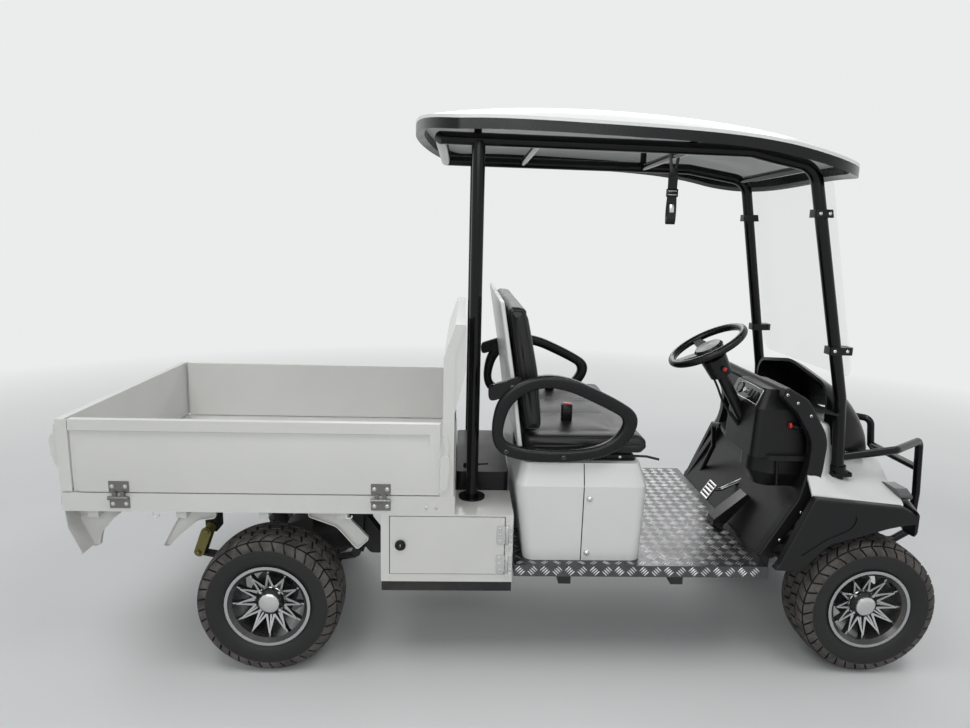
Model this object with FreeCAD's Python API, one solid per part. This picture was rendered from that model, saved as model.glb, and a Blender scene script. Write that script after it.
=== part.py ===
import FreeCAD, Part
import math
import os

# Utility golf cart with a drop-side cargo bed. Millimetres.
# X runs forward, Y to the vehicle's left, Z up. Lengths along X are measured from
# midway between the axles, and the finished model is moved so that its origin lies
# on the floor, in the middle of its overall length and width.

V = FreeCAD.Vector
X_AXIS = V(1, 0, 0)
Y_AXIS = V(0, 1, 0)
Z_AXIS = V(0, 0, 1)
SIDES = {"right": -1, "left": 1}      # name of a side, sign of its Y

# Fits and clearances
SEAT_GAP = 0.3                        # between pieces that only rest against each other
RUN_FIT = 0.05                        # radial clearance of a shaft in its bore
OPEN_PIN_FIT = 0.4                    # radial clearance of the tie rod's left eye
DOOR_GAP = 3
WALL_GAP = 5                          # floor line to the foot of a hinged wall

# Wheels
WHEELBASE = 2448
TYRE_R = 288
TYRE_W = 224
CARCASS_R = 277                       # tread between the lugs
LUGS = 18                             # round each shoulder of a tyre
TRACK_OUT = 612                       # outer sidewall from the centre plane
BEAD_R = 152
LIP_R = 170
RIM_W = 200
RIM_OUT = TRACK_OUT - 12              # outer lip from the centre plane
RIM_WALL = 9
HUB_FACE_IN = 56                      # mounting face, in from the outer lip
HUB_R = 64
SPOKES = 12
STAR_ROOT = (59, 44)                  # radius of the star's inner corners, depth behind the lip
STAR_TIP = (127, 20)                  # the same of its points
STAR_BAR = (9, 6)                     # bar width at the root and at the tip
STAR_BAR_T = 11
WEB_T = 6
CAP_R = 42
DRUM_R = 92
DRUM_W = 74
AXLE_X = {"front": WHEELBASE / 2, "rear": -WHEELBASE / 2}
HUB_Y = RIM_OUT - HUB_FACE_IN - 14    # inner face of the wheel's centre disc

# Front axle and steering
FRONT_BEAM = 50
KINGPIN_Y = TRACK_OUT - 190
KINGPIN_R = 12
STEER_ARM_BACK = 70                   # arms point straight back, so that the two wheels turn alike
ARM_PIN_R = 7
TIE_Z = 200
TIE_EYE_H = 26
AXLE_EYE_H = 72
AXLE_EYE_R = 30
KNUCKLE_PLATE = 22
ARM_T = 14
ARM_EYE_R = 14
TIE_R = 9
TIE_EYE_R = 15
STEER_POINT = V(587, -250, 1321)      # centre of the steering wheel
STEER_TILT = 30
COLUMN_LENGTH = 330
COLUMN_R = 24
SHROUD_R = 48
SHROUD_LENGTH = 95
SHROUD_DROP = 50                      # wheel plane to the top of the shroud
WHEEL_RIM_R = 160
WHEEL_TUBE_R = 16
CABLE_R = 5

# Chassis
SPRING_W = 50
SPRING_Y = TRACK_OUT - TYRE_W - 58
RAIL_Y = SPRING_Y - 115
RAIL_W = 56
RAIL_LOW = 350
FRONT_RAIL_LOW = 382
RAIL_TOP = 427
KICK_LOW = 560
KICK_TOP = 640
KICK_X = (-960, -800)
RAIL_REAR = -1940
RAIL_FRONT = 1440
FRONT_RAIL_Y = RAIL_Y - 55
RAIL_STEP_X = 820

# Springs
SPRING_EYE_R = 20
REAR_SPRING_X = (-1573, -908)
REAR_EYE_Z = 405
REAR_LEAVES = 4
FRONT_SPRING_X = (960, 1420)
FRONT_EYE_Z = 355
FRONT_LEAVES = 3
LEAF_T = 9
LEAF_STEP = 0.2                       # share of its length by which each leaf is shorter
SHACKLE_LEAN = 32
SHACKLE_RISE = 88
SHACKLE_T = 8
AXLE_TUBE_R = 35

# Bed
BED_REAR = -1991
BED_FRONT = -485
BED_HALF = 596
BASE_LOW = 683
BASE_TOP = 757
BASE_W = 45
DECK_T = 4
WALL_TOP = 1047
WALL_T = 30
TAIL_T = 43
STILE_W = 40
GROOVE = (976, 1005)                  # shadow groove below the top rail
GROOVE_T = 10
BEVEL_LOW = 944
SIDE_FRONT = -545
HINGE_OUT = 13                        # hinge axis, out from the wall's face
HINGE_Z = 742
HINGE_R = 8
HINGE_W = 76
HINGE_REACH = 44
HINGE_RISE = BASE_TOP + WALL_GAP - HINGE_Z
PIN_R = 4
SIDE_HINGE_X = (-1770, -772)
TAIL_HINGE_Y = (-430, 430)
HEAD_X = (-535, -491)
HEAD_BEND_Z = 1305
HEAD_TOP_Z = 1433
HEAD_LEAN = 44
BRACKET_Y = 500                       # outer face of the pressed brackets
BRACKET_T = 4
BRACKET_RIM = 14                      # height of their raised rims

# Lockers
BOX_X = (-773, -252)
BOX_Z = (400, 683)
BOX_IN = 326                          # inner wall from the centre plane
BOX_HALF_IN = BED_HALF - 20
BOX_WALL = 5
DOOR_X = (-737, -286)
DOOR_Z = (435, 673)
DOOR_T = 18
DOOR_PIN_X = -276
DOOR_PIN_OUT = 10
DOOR_PIN_R = 6
DOOR_HINGE_Z = (480, 602)
DOOR_KNUCKLE = 37
LOCK_AT = (-696, 556)
LOCK_R = 20

# Floor and seat
FLOOR_X = (-245, 785)
FLOOR_HALF = 600
FLOOR_TOP = 475
FLOOR_T = 5
FLOOR_EDGE = 48
SEAT_BASE_Z = 880
SEAT_SHOULDER_Z = 790
SEAT_BASE_WALL = 8
SEAT_SEAM_X = 28
CUSHION_LOW = 902
CUSHION_TOP = 990
CUSHION_X = (-215, 290)
SEAT_HALF = 520
SHELL_HALF = SEAT_HALF + 12
ARMREST_W = 44

# Front body
DASH_HALF = 500
DASH_RIM = 45                         # width of the raised rim at each side
FENDER_OUT = 590
NOSE_X = 1506
NOSE_BOW = 120
BUMPER_Z = (600, 700)
BUMPER_T = 30
PANEL_T = 34
HOOD_HALF = FENDER_OUT - PANEL_T - SEAT_GAP
HOOD_T = 6
HOOD_LOW = 692
LIP_W = 65                            # black lip between the nose and the hood
LIP_Z = 714
LIP_ROUND = 26
COWL_T = 14
GUARD_R = 17

# Roof
ROOF_X = (-680, 1174)                 # rearmost and foremost point
ROOF_END = (210, 387)                 # length of its rounded rear and front ends
ROOF_HALF = 605
ROOF_T = 12
ROOF_EDGE_H = 38
ROOF_EDGE_W = 36
TUBE_R = 24.5
BAR_R = 16
REAR_POST_X = -415
REAR_POST_Y = 405
RAIL_TUBE_Z = 2125
ROOF_REAR_BAR_X = -560
FRONT_FOOT = (1140, 400, 800)
FRONT_BEND = (1112, 396, 1130)
FRONT_TOP = (930, 345, 2060)
ROOF_BOSSES = [(-420, 404), (420, 385)]
BOSS_R = 15
ROOF_STATIONS = [
    # x, crown, height at the side
    (-700, 2218, 2156),
    (-280, 2281, 2180),
    (350, 2271, 2158),
    (820, 2202, 2096),
    (1190, 2082, 1905),
]


def box(x, y, z):
    """Block between the low and high values of each axis."""
    (x0, x1), (y0, y1), (z0, z1) = sorted(x), sorted(y), sorted(z)
    return Part.makeBox(x1 - x0, y1 - y0, z1 - z0, V(x0, y0, z0))


def rod(start, end, radius):
    """Round bar between two points."""
    run = end.sub(start)
    return Part.makeCylinder(radius, run.Length, start, run)


def fuse(shapes):
    """One solid from touching shapes, with the seams between them removed."""
    whole = shapes[0]
    if len(shapes) > 1:
        whole = shapes[0].multiFuse(shapes[1:])
    return whole.removeSplitter()


def mirrored(shape):
    """The same piece on the other side of the centre plane."""
    return shape.mirror(V(0, 0, 0), Y_AXIS)


def on_side(shape, side):
    """A piece drawn on the left, moved to the side named by its sign."""
    return shape if side > 0 else mirrored(shape)


def both_sides(shape):
    return [shape, mirrored(shape)]


def corner_wire(corners, place):
    """Closed outline through corners (a, b, radius), each rounded by its radius.

    place turns the flat pair (a, b) into a point in space.
    """
    count = len(corners)
    starts = []
    ends = []
    arcs = []
    for i, (a, b, radius) in enumerate(corners):
        here = V(a, b, 0)
        back = V(corners[i - 1][0], corners[i - 1][1], 0).sub(here).normalize()
        following = corners[(i + 1) % count]
        ahead = V(following[0], following[1], 0).sub(here).normalize()
        straight = back.getAngle(ahead) > math.pi - 0.001
        if radius <= 0 or straight:
            starts.append(here)
            ends.append(here)
            arcs.append(None)
            continue
        half = back.getAngle(ahead) / 2
        cut = radius / math.tan(half)
        start = here.add(back * cut)
        end = here.add(ahead * cut)
        bisector = back.add(ahead).normalize()
        middle = here.add(bisector * (radius / math.sin(half) - radius))
        starts.append(start)
        ends.append(end)
        arcs.append(Part.Arc(place(start), place(middle), place(end)).toShape())
    outline = []
    for i in range(count):
        if arcs[i] is not None:
            outline.append(arcs[i])
        a = place(ends[i])
        b = place(starts[(i + 1) % count])
        if a.distanceToPoint(b) > 1e-6:
            outline.append(Part.LineSegment(a, b).toShape())
    return Part.Wire(outline)


def xz(y):
    return lambda p: V(p.x, y, p.y)


def yz(x):
    return lambda p: V(x, p.x, p.y)


def xy(z):
    return lambda p: V(p.x, p.y, z)


def slab_y(corners, y0, y1):
    """Outline of (x, z, radius) corners, given its thickness along Y."""
    face = Part.Face(corner_wire(corners, xz(y0)))
    return face.extrude(V(0, y1 - y0, 0))


def slab_x(corners, x0, x1):
    """Outline of (y, z, radius) corners, given its thickness along X."""
    face = Part.Face(corner_wire(corners, yz(x0)))
    return face.extrude(V(x1 - x0, 0, 0))


def slab_z(corners, z0, z1):
    """Outline of (x, y, radius) corners, given its thickness along Z."""
    face = Part.Face(corner_wire(corners, xy(z0)))
    return face.extrude(V(0, 0, z1 - z0))


def rounded_box(x, y, z, radius):
    """Block with its upright edges rounded."""
    corners = [(x[0], y[0], radius), (x[1], y[0], radius), (x[1], y[1], radius), (x[0], y[1], radius)]
    return slab_z(corners, z[0], z[1])


def softened(slab, side_y, radius):
    """A slab with the outline of its face at the given Y rounded off."""
    edges = [edge for edge in slab.Edges
             if all(abs(vertex.Point.y - side_y) < 0.01 for vertex in edge.Vertexes)]
    return slab.makeFillet(radius, edges)


def turned(profile, centre, axis=Y_AXIS):
    """Ring from an outline of (offset along the axis, radius) points, turned about the axis."""
    across = X_AXIS if axis is not X_AXIS else Z_AXIS
    points = [centre.add(axis * a).add(across * r) for a, r in profile]
    face = Part.Face(Part.makePolygon(points + points[:1]))
    return face.revolve(centre, axis, 360)


def tube_path(points, bend):
    """Straight runs through the points, joined by arcs of the bend radius."""
    edges = []
    last = points[0]
    for before, here, after in zip(points, points[1:], points[2:]):
        back = before.sub(here).normalize()
        ahead = after.sub(here).normalize()
        half = back.getAngle(ahead) / 2
        start = here.add(back * (bend / math.tan(half)))
        end = here.add(ahead * (bend / math.tan(half)))
        middle = here.add(back.add(ahead).normalize() * (bend / math.sin(half) - bend))
        edges.append(Part.LineSegment(last, start).toShape())
        edges.append(Part.Arc(start, middle, end).toShape())
        last = end
    edges.append(Part.LineSegment(last, points[-1]).toShape())
    return Part.Wire(edges)


def bent_tube(points, radius, bend=0):
    """Round tube, solid, along straight runs joined by arcs."""
    path = tube_path(points, bend)
    start = points[0]
    ring = Part.Wire(Part.makeCircle(radius, start, points[1].sub(start)))
    return path.makePipeShell([ring], True, False)


def loft(wires, ruled=False):
    return Part.makeLoft(wires, True, ruled)


# Wheels

def faceted(sections, closed=False):
    """Solid with flat faces between successive outlines, which all have the same number of corners."""
    outlines = [Part.makePolygon(points + points[:1]) for points in sections]
    faces = [] if closed else [Part.Face(outlines[0]), Part.Face(outlines[-1])]
    following = sections[1:] + (sections[:1] if closed else [])
    for near, far in zip(sections, following):
        corners = list(zip(near, far))
        for (a, b), (d, c) in zip(corners, corners[1:] + corners[:1]):
            faces.append(Part.Face(Part.makePolygon([a, b, c, d, a])))
    return Part.Solid(Part.Shell(faces))


def tyre(centre):
    """Balloon tyre in flat facets; every other facet carries a lug that wraps over one of the shoulders."""
    half = TYRE_W / 2
    facets = 2 * LUGS
    spread = 1 / math.cos(math.pi / facets)          # radius at a facet's corners over that at its middle

    def sections(profile, count):
        """The profile, as (distance from the wheel's middle, radius), at the first facet corners."""
        angles = [(i - 0.5) * 2 * math.pi / facets for i in range(count)]
        return [[V(r * spread * math.sin(t), a, -r * spread * math.cos(t)) for a, r in profile]
                for t in angles]

    bead = RIM_W / 2 - 9
    side = [(-bead, BEAD_R), (-bead, LIP_R + 2), (-half, 212), (-half + 9, 254), (-half + 44, CARCASS_R)]
    carcass = faceted(sections(side + [(-a, r) for a, r in reversed(side)], facets), True)
    block = [(12, CARCASS_R - 7), (12, TYRE_R), (half - 26, TYRE_R - 1), (half, 254), (half - 9, 240)]
    lug = faceted(sections(block, 2))
    shapes = [carcass]
    for i in range(facets):
        piece = mirrored(lug) if i % 2 else lug.copy()
        piece.rotate(V(0, 0, 0), Y_AXIS, i * 360 / facets)
        shapes.append(piece)
    whole = fuse(shapes)
    whole.translate(centre)
    return whole


def star_bar(lip, sign):
    """One bar of the star, from an inner corner out to the tip that points up."""
    root_r, root_in = STAR_ROOT
    tip_r, tip_in = STAR_TIP
    lean = sign * math.pi / SPOKES
    ends = [
        # place across, height, depth, half width
        (root_r * math.sin(lean), root_r * math.cos(lean), lip - root_in, STAR_BAR[0] / 2),
        (0, tip_r, lip - tip_in, STAR_BAR[1] / 2),
    ]
    wires = [Part.makePolygon([V(x - w, y - STAR_BAR_T, z), V(x + w, y - STAR_BAR_T, z), V(x + w, y, z),
                               V(x - w, y, z), V(x - w, y - STAR_BAR_T, z)]) for x, z, y, w in ends]
    return loft(wires, True)


def rim(side):
    """Alloy wheel about the origin: barrel with two lips, centre disc, pointed star, webs and cap."""
    lip = RIM_W / 2
    barrel = [(-lip, LIP_R), (-lip + 8, LIP_R), (-lip + 8, BEAD_R - SEAT_GAP),
              (lip - 8, BEAD_R - SEAT_GAP), (lip - 8, LIP_R), (lip, LIP_R),
              (lip, LIP_R - 12), (lip - 14, BEAD_R - RIM_WALL), (-lip, BEAD_R - RIM_WALL)]
    face = lip - HUB_FACE_IN
    disc = [(face, 0), (face, HUB_R), (face - 14, HUB_R), (face - 14, 0)]
    cap = [(face, 0), (face + 34, 0), (face + 34, CAP_R - 6), (face + 28, CAP_R), (face, HUB_R - 8)]
    pieces = [turned(profile, V(0, 0, 0)) for profile in (barrel, disc, cap)]
    web_r = BEAD_R - RIM_WALL + 3
    web = [(face - 12, HUB_R - 14), (lip - 48, web_r), (lip - 24, web_r), (lip - 26, STAR_TIP[0]),
           (face - 1, HUB_R - 14)]
    web = Part.Face(Part.makePolygon([V(-WEB_T / 2, a, r) for a, r in web + web[:1]])).extrude(V(WEB_T, 0, 0))
    spoke = [star_bar(lip, -1), star_bar(lip, 1), web]
    for i in range(SPOKES):
        for shape in spoke:
            piece = shape.copy()
            piece.rotate(V(0, 0, 0), Y_AXIS, i * 360 / SPOKES)
            pieces.append(piece)
    return on_side(fuse(pieces), side)


def wheel_centre(end, side, across):
    """Centre of a tyre or rim that lies the given distance from the centre plane."""
    return V(AXLE_X[end], side * across, TYRE_R)


# Running gear

def chassis_frame():
    """Two rails that rise over the rear axle, joined by cross members."""
    shapes = []
    side_view = [(RAIL_REAR, KICK_LOW, 0), (RAIL_REAR, KICK_TOP, 0), (KICK_X[0], KICK_TOP, 30),
                 (KICK_X[1], RAIL_TOP, 30), (RAIL_FRONT, RAIL_TOP, 0), (RAIL_FRONT, RAIL_LOW, 0),
                 (KICK_X[1] - 60, RAIL_LOW, 30), (KICK_X[0] - 60, KICK_LOW, 30)]
    rear = box((RAIL_REAR - 10, RAIL_STEP_X), (0, RAIL_Y + RAIL_W / 2), (0, WALL_TOP))
    front_y = (FRONT_RAIL_Y - RAIL_W / 2, FRONT_RAIL_Y + RAIL_W / 2)
    for sign in SIDES.values():
        rail = slab_y(side_view, RAIL_Y - RAIL_W / 2, RAIL_Y + RAIL_W / 2).common(rear)
        nose = box((RAIL_STEP_X - RAIL_W, RAIL_FRONT), front_y, (FRONT_RAIL_LOW, RAIL_TOP))
        shapes += [on_side(rail, sign), on_side(nose, sign)]
    rear_inner = RAIL_Y + RAIL_W / 2
    front_inner = FRONT_RAIL_Y + RAIL_W / 2
    step = (RAIL_STEP_X - RAIL_W, RAIL_STEP_X)
    cross = [
        # x range, half width, z range
        ((RAIL_REAR, RAIL_REAR + 50), rear_inner, (KICK_LOW, KICK_TOP)),
        ((-1250, -1200), rear_inner, (KICK_TOP - 50, KICK_TOP)),
        ((-760, -710), BOX_HALF_IN, (RAIL_LOW, BOX_Z[0])),
        ((-330, -280), BOX_HALF_IN, (RAIL_LOW, BOX_Z[0])),
        ((-60, -10), FLOOR_HALF - 30, (RAIL_LOW + 30, RAIL_TOP)),
        ((400, 450), FLOOR_HALF - 30, (RAIL_LOW + 30, RAIL_TOP)),
        (step, rear_inner, (RAIL_LOW, RAIL_TOP)),
        ((RAIL_FRONT - 50, RAIL_FRONT), front_inner, (FRONT_RAIL_LOW, RAIL_TOP)),
    ]
    for x, half, z in cross:
        shapes.append(box(x, (-half, half), z))
    eye_side = SPRING_Y - SPRING_W / 2 - SEAT_GAP
    hangers = [
        # x, pin height, end of the pin
        (REAR_SPRING_X[1], REAR_EYE_Z, eye_side),
        (REAR_SPRING_X[0] + SHACKLE_LEAN, REAR_EYE_Z + SHACKLE_RISE, eye_side - SHACKLE_T),
    ]
    for sign in SIDES.values():
        for x, z, end in hangers:
            arm = box((x - 24, x + 24), (RAIL_Y, eye_side - SHACKLE_T), (z - 24, KICK_TOP))
            pin = rod(V(x, RAIL_Y, z), V(x, end, z), 14)
            shapes += [on_side(arm, sign), on_side(pin, sign)]
        for x in FRONT_SPRING_X:
            perch = box((x - 14, x + 14), (FRONT_RAIL_Y - SPRING_W / 2, FRONT_RAIL_Y + SPRING_W / 2),
                        (FRONT_EYE_Z + SPRING_EYE_R + SEAT_GAP, FRONT_RAIL_LOW))
            shapes.append(on_side(perch, sign))
        upright = box((RAIL_FRONT - 40, RAIL_FRONT), front_y, (RAIL_TOP, BUMPER_Z[1] - 20))
        pad = box((RAIL_FRONT - 40, NOSE_X + 50), front_y, (BUMPER_Z[0] + 20, BUMPER_Z[1] - 20))
        pad = pad.common(front_curve(BUMPER_Z, -BUMPER_T - SEAT_GAP))
        sill = box(BOX_X, (BOX_HALF_IN - 40, BOX_HALF_IN), (RAIL_LOW, BOX_Z[0]))
        shapes += [on_side(shape, sign) for shape in (upright, pad, sill)]
    return fuse(shapes)


def leaf_pack(ends, eye_z, seat_x, seat_z, y, leaves):
    """Stack of bowed leaves, the longest on top with an eye at each end.

    All faces are arcs about one centre above the axle, a leaf's thickness apart.
    """
    y0 = y - SPRING_W / 2
    shapes = []
    for x in ends:
        shapes.append(rod(V(x, y0, eye_z), V(x, y0 + SPRING_W, eye_z), SPRING_EYE_R))
    half = (ends[1] - ends[0]) / 2
    top = seat_z + LEAF_T * leaves
    bow = eye_z - SPRING_EYE_R + LEAF_T - top
    radius = (half * half + bow * bow) / (2 * bow)
    centre_z = top + radius

    def on_arc(x, layer):
        """Point of the face that lies a number of layers below the top one."""
        r = radius + layer * LEAF_T
        return V(x, y0, centre_z - math.sqrt(r * r - (x - seat_x) ** 2))

    for i in range(leaves):
        share = 1 - i * LEAF_STEP
        x0, x1 = [seat_x + (x - seat_x) * share for x in ends]
        edges = [
            Part.Arc(on_arc(x0, i), on_arc(seat_x, i), on_arc(x1, i)).toShape(),
            Part.LineSegment(on_arc(x1, i), on_arc(x1, i + 1)).toShape(),
            Part.Arc(on_arc(x1, i + 1), on_arc(seat_x, i + 1), on_arc(x0, i + 1)).toShape(),
            Part.LineSegment(on_arc(x0, i + 1), on_arc(x0, i)).toShape(),
        ]
        shapes.append(Part.Face(Part.Wire(edges)).extrude(V(0, SPRING_W, 0)))
    return fuse(shapes)


def leaf_springs():
    """Rear packs under the kicked-up rails and front packs under the front rails."""
    rear_seat = TYRE_R + AXLE_TUBE_R
    front_seat = TYRE_R + FRONT_BEAM / 2
    rear = leaf_pack(REAR_SPRING_X, REAR_EYE_Z, AXLE_X["rear"], rear_seat, SPRING_Y, REAR_LEAVES)
    front = leaf_pack(FRONT_SPRING_X, FRONT_EYE_Z, AXLE_X["front"], front_seat, FRONT_RAIL_Y, FRONT_LEAVES)
    return both_sides(rear) + both_sides(front)


def spring_shackles():
    """Paired zinc links with round ends, from the rear eye up to the frame bracket."""
    x = REAR_SPRING_X[0]
    z = REAR_EYE_Z
    radius = 21
    along = V(SHACKLE_LEAN, SHACKLE_RISE, 0).normalize()
    across = V(along.y, -along.x, 0)
    centres = (V(x, z, 0), V(x + SHACKLE_LEAN, z + SHACKLE_RISE, 0))
    corners = [centres[0] - along * radius - across * radius, centres[0] - along * radius + across * radius,
               centres[1] + along * radius + across * radius, centres[1] + along * radius - across * radius]
    outline = [(p.x, p.y, radius - 1) for p in corners]
    links = []
    for y in (SPRING_Y - SPRING_W / 2 - SHACKLE_T, SPRING_Y + SPRING_W / 2):
        links += both_sides(slab_y(outline, y, y + SHACKLE_T))
    return links


def rear_axle():
    """Live axle with differential, drums and the drive motor."""
    x = AXLE_X["rear"]
    drum_in = HUB_Y - DRUM_W
    shapes = [rod(V(x, -drum_in, TYRE_R), V(x, drum_in, TYRE_R), AXLE_TUBE_R)]
    for sign in SIDES.values():
        shapes.append(rod(V(x, sign * drum_in, TYRE_R), V(x, sign * (HUB_Y - SEAT_GAP), TYRE_R), DRUM_R))
    housing = [(-95, 40), (-60, 105), (60, 105), (95, 40), (95, 0), (-95, 0)]
    shapes.append(turned(housing, V(x, 60, TYRE_R)))
    shapes.append(rod(V(x + 60, 60, TYRE_R + 20), V(x + 330, 60, TYRE_R + 45), 88))
    return fuse(shapes)


def front_axle():
    """Drop-forged beam between the kingpins."""
    x = AXLE_X["front"]
    inner = KINGPIN_Y - AXLE_EYE_R
    half = FRONT_BEAM / 2
    shapes = [box((x - half, x + half), (-inner, inner), (TYRE_R - half, TYRE_R + half))]
    bores = []
    for sign in SIDES.values():
        y = sign * KINGPIN_Y
        shapes.append(rod(V(x, y, TYRE_R - AXLE_EYE_H / 2), V(x, y, TYRE_R + AXLE_EYE_H / 2), AXLE_EYE_R))
        shapes.append(box((x - 22, x + 22), (sign * (inner - 2), y), (TYRE_R - half, TYRE_R + half)))
        bores.append(rod(V(x, y, TYRE_R - AXLE_EYE_H), V(x, y, TYRE_R + AXLE_EYE_H), KINGPIN_R + RUN_FIT))
    return fuse(shapes).cut(bores)


def knuckle(side):
    """Steering knuckle: fork round the beam's eye, kingpin, stub, drum and arm."""
    x = AXLE_X["front"]
    y = KINGPIN_Y
    plate = KNUCKLE_PLATE
    inner = AXLE_EYE_H / 2 + 1
    outer = inner + plate
    shapes = [rod(V(x, y, TYRE_R - outer - 3), V(x, y, TYRE_R + outer + 3), KINGPIN_R)]
    for z in (TYRE_R + inner, TYRE_R - outer):
        shapes.append(box((x - 26, x + 26), (y - 26, y + 52), (z, z + plate)))
    shapes.append(box((x - 34, x + 34), (y + 36, y + 52), (TYRE_R - outer, TYRE_R + outer)))
    shapes.append(rod(V(x, y + 52, TYRE_R), V(x, HUB_Y - SEAT_GAP, TYRE_R), DRUM_R))
    arm_z = TYRE_R - outer
    tip = x - STEER_ARM_BACK
    arm = slab_z([(x + 10, y - 20, 0), (x + 10, y + 20, 0), (tip, y + ARM_EYE_R, 10),
                  (tip - ARM_EYE_R, y + ARM_EYE_R, 10), (tip - ARM_EYE_R, y - ARM_EYE_R, 10),
                  (tip, y - ARM_EYE_R, 10)], arm_z - ARM_T, arm_z)
    shapes.append(arm)
    shapes.append(rod(V(tip, y, TIE_Z - TIE_EYE_H / 2 - 7), V(tip, y, arm_z), ARM_PIN_R))
    return on_side(fuse(shapes), side)


def tie_rod():
    """Track rod between the two arm pins, hinged on the right one."""
    x = AXLE_X["front"] - STEER_ARM_BACK
    y = KINGPIN_Y
    half = TIE_EYE_H / 2
    shapes = [rod(V(x, -y, TIE_Z), V(x, y, TIE_Z), TIE_R)]
    for sign in SIDES.values():
        shapes.append(rod(V(x, sign * y, TIE_Z - half), V(x, sign * y, TIE_Z + half), TIE_EYE_R))
    bores = [rod(V(x, end, TIE_Z - 2 * half), V(x, end, TIE_Z + 2 * half), ARM_PIN_R + fit)
             for end, fit in ((-y, RUN_FIT), (y, OPEN_PIN_FIT))]
    return fuse(shapes).cut(bores)


def battery_block():
    """The battery pack, as one plain block under the seat."""
    return box((-190, 230), (-430, 430), (FLOOR_TOP, FLOOR_TOP + 270))


# Bed

def bed_frame():
    """Perimeter rail, deck sheet and cross members."""
    ring = box((BED_REAR, BED_FRONT), (-BED_HALF, BED_HALF), (BASE_LOW, BASE_TOP))
    inner = BED_HALF - BASE_W
    ring = ring.cut(box((BED_REAR + BASE_W, BED_FRONT - BASE_W), (-inner, inner),
                        (BASE_LOW - 1, BASE_TOP - DECK_T)))
    shapes = [ring]
    for x in (-1900, -1560, -1240, -930):
        shapes.append(box((x - 20, x + 20), (-inner, inner), (KICK_TOP, BASE_TOP - DECK_T)))
    return fuse(shapes)


def pressed_bracket(corners, rib, flange=None):
    """Bracket stamped from sheet: plate with a raised rim all round and an embossed rib."""
    plate_y = (BRACKET_Y - BRACKET_T, BRACKET_Y)
    shapes = [slab_y(corners, *plate_y)]
    grown = slab_y(corners, BRACKET_Y - BRACKET_T, BRACKET_Y + BRACKET_RIM)
    core = Part.Face(corner_wire(corners, xz(BRACKET_Y))).makeOffset2D(-BRACKET_T)
    shapes.append(grown.cut(core.extrude(V(0, BRACKET_RIM + 1, 0))))
    shapes.append(slab_y(rib, BRACKET_Y - 1, BRACKET_Y + 5))
    if flange:
        shapes.append(slab_y(flange, BRACKET_Y - BRACKET_T, BED_HALF - 6))
    return fuse(shapes)


def bed_brackets():
    """Pressed brackets below the base rail on both sides."""
    tables = [
        # outline, rib, flange: the corner bracket at the rear, then the two hangers beside the axle
        ([(-1987, BASE_LOW, 0), (-1800, BASE_LOW, 0), (-1808, 645, 25), (-1850, 612, 50), (-1893, 560, 40),
          (-1905, 498, 16), (-1935, 500, 16), (-1982, 610, 60)],
         [(-1950, 640, 7), (-1880, 640, 7), (-1880, 656, 7), (-1950, 656, 7)],
         [(-1987, BASE_LOW, 0), (-1983, BASE_LOW, 0), (-1978, 611, 60), (-1931, 505, 0), (-1935, 500, 0),
          (-1982, 610, 60)]),
        ([(-1558, BASE_LOW, 0), (-1437, BASE_LOW, 0), (-1440, 622, 14), (-1512, 612, 50), (-1590, 545, 50),
          (-1630, 500, 8), (-1658, 500, 8)],
         [(-1540, 640, 7), (-1460, 640, 7), (-1460, 655, 7), (-1540, 655, 7)], None),
        ([(-1076, BASE_LOW, 0), (-938, BASE_LOW, 0), (-920, 641, 20), (-828, 540, 12), (-878, 492, 12),
          (-960, 590, 60), (-1072, 632, 14)],
         [(-1040, 645, 7), (-960, 645, 7), (-960, 660, 7), (-1040, 660, 7)], None),
    ]
    bodies = []
    for outline, rib, flange in tables:
        bodies += both_sides(pressed_bracket(outline, rib, flange))
    return bodies


def headboard():
    """Front wall of the bed: bent side posts with gussets, sheet, top rail and side latches."""
    x0, x1 = HEAD_X
    lean = HEAD_LEAN
    outline = [(x0, BASE_TOP, 0), (x0, HEAD_BEND_Z, 0), (x0 + lean, HEAD_TOP_Z, 0), (x1 + lean - 6, HEAD_TOP_Z, 0),
               (x1, HEAD_BEND_Z, 0), (x1, BASE_TOP, 0)]
    wall = slab_y(outline, -BED_HALF, BED_HALF)
    top = HEAD_TOP_Z - 30
    pocket = [(x0 + 4, BASE_TOP - 1, 0), (x0 + 4, HEAD_BEND_Z, 0), (x0 + lean + 2, top, 0),
              (x1 + lean + 30, top, 0), (x1 + 30, HEAD_BEND_Z, 0), (x1 + 30, BASE_TOP - 1, 0)]
    hollow = slab_y(pocket, STILE_W - BED_HALF, BED_HALF - STILE_W)
    shapes = [wall.cut(hollow)]
    gusset = slab_y([(x1 - 8, 1085, 0), (x1 - 8, HEAD_BEND_Z, 0), (x1 + lean - 10, HEAD_TOP_Z - 4, 0),
                     (x1 + lean - 4, HEAD_TOP_Z - 10, 0), (x1 + lean - 2, 1262, 8), (x1, 1085, 0)],
                    BED_HALF - 8, BED_HALF - 4)
    shapes += both_sides(gusset)
    latch = [
        # the lever, then the hook above it
        ([(-541, 786, 6), (-517, 786, 6), (-505, 868, 10), (-509, 925, 8), (-541, 925, 8)], 14),
        ([(-532, 925, 0), (-512, 925, 0), (-508, 968, 8), (-520, 1008, 8), (-535, 1000, 6), (-527, 960, 8)], 9),
    ]
    for corners, out in latch:
        shapes += both_sides(slab_y(corners, BED_HALF - 1, BED_HALF + out))
    return fuse(shapes)


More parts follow.
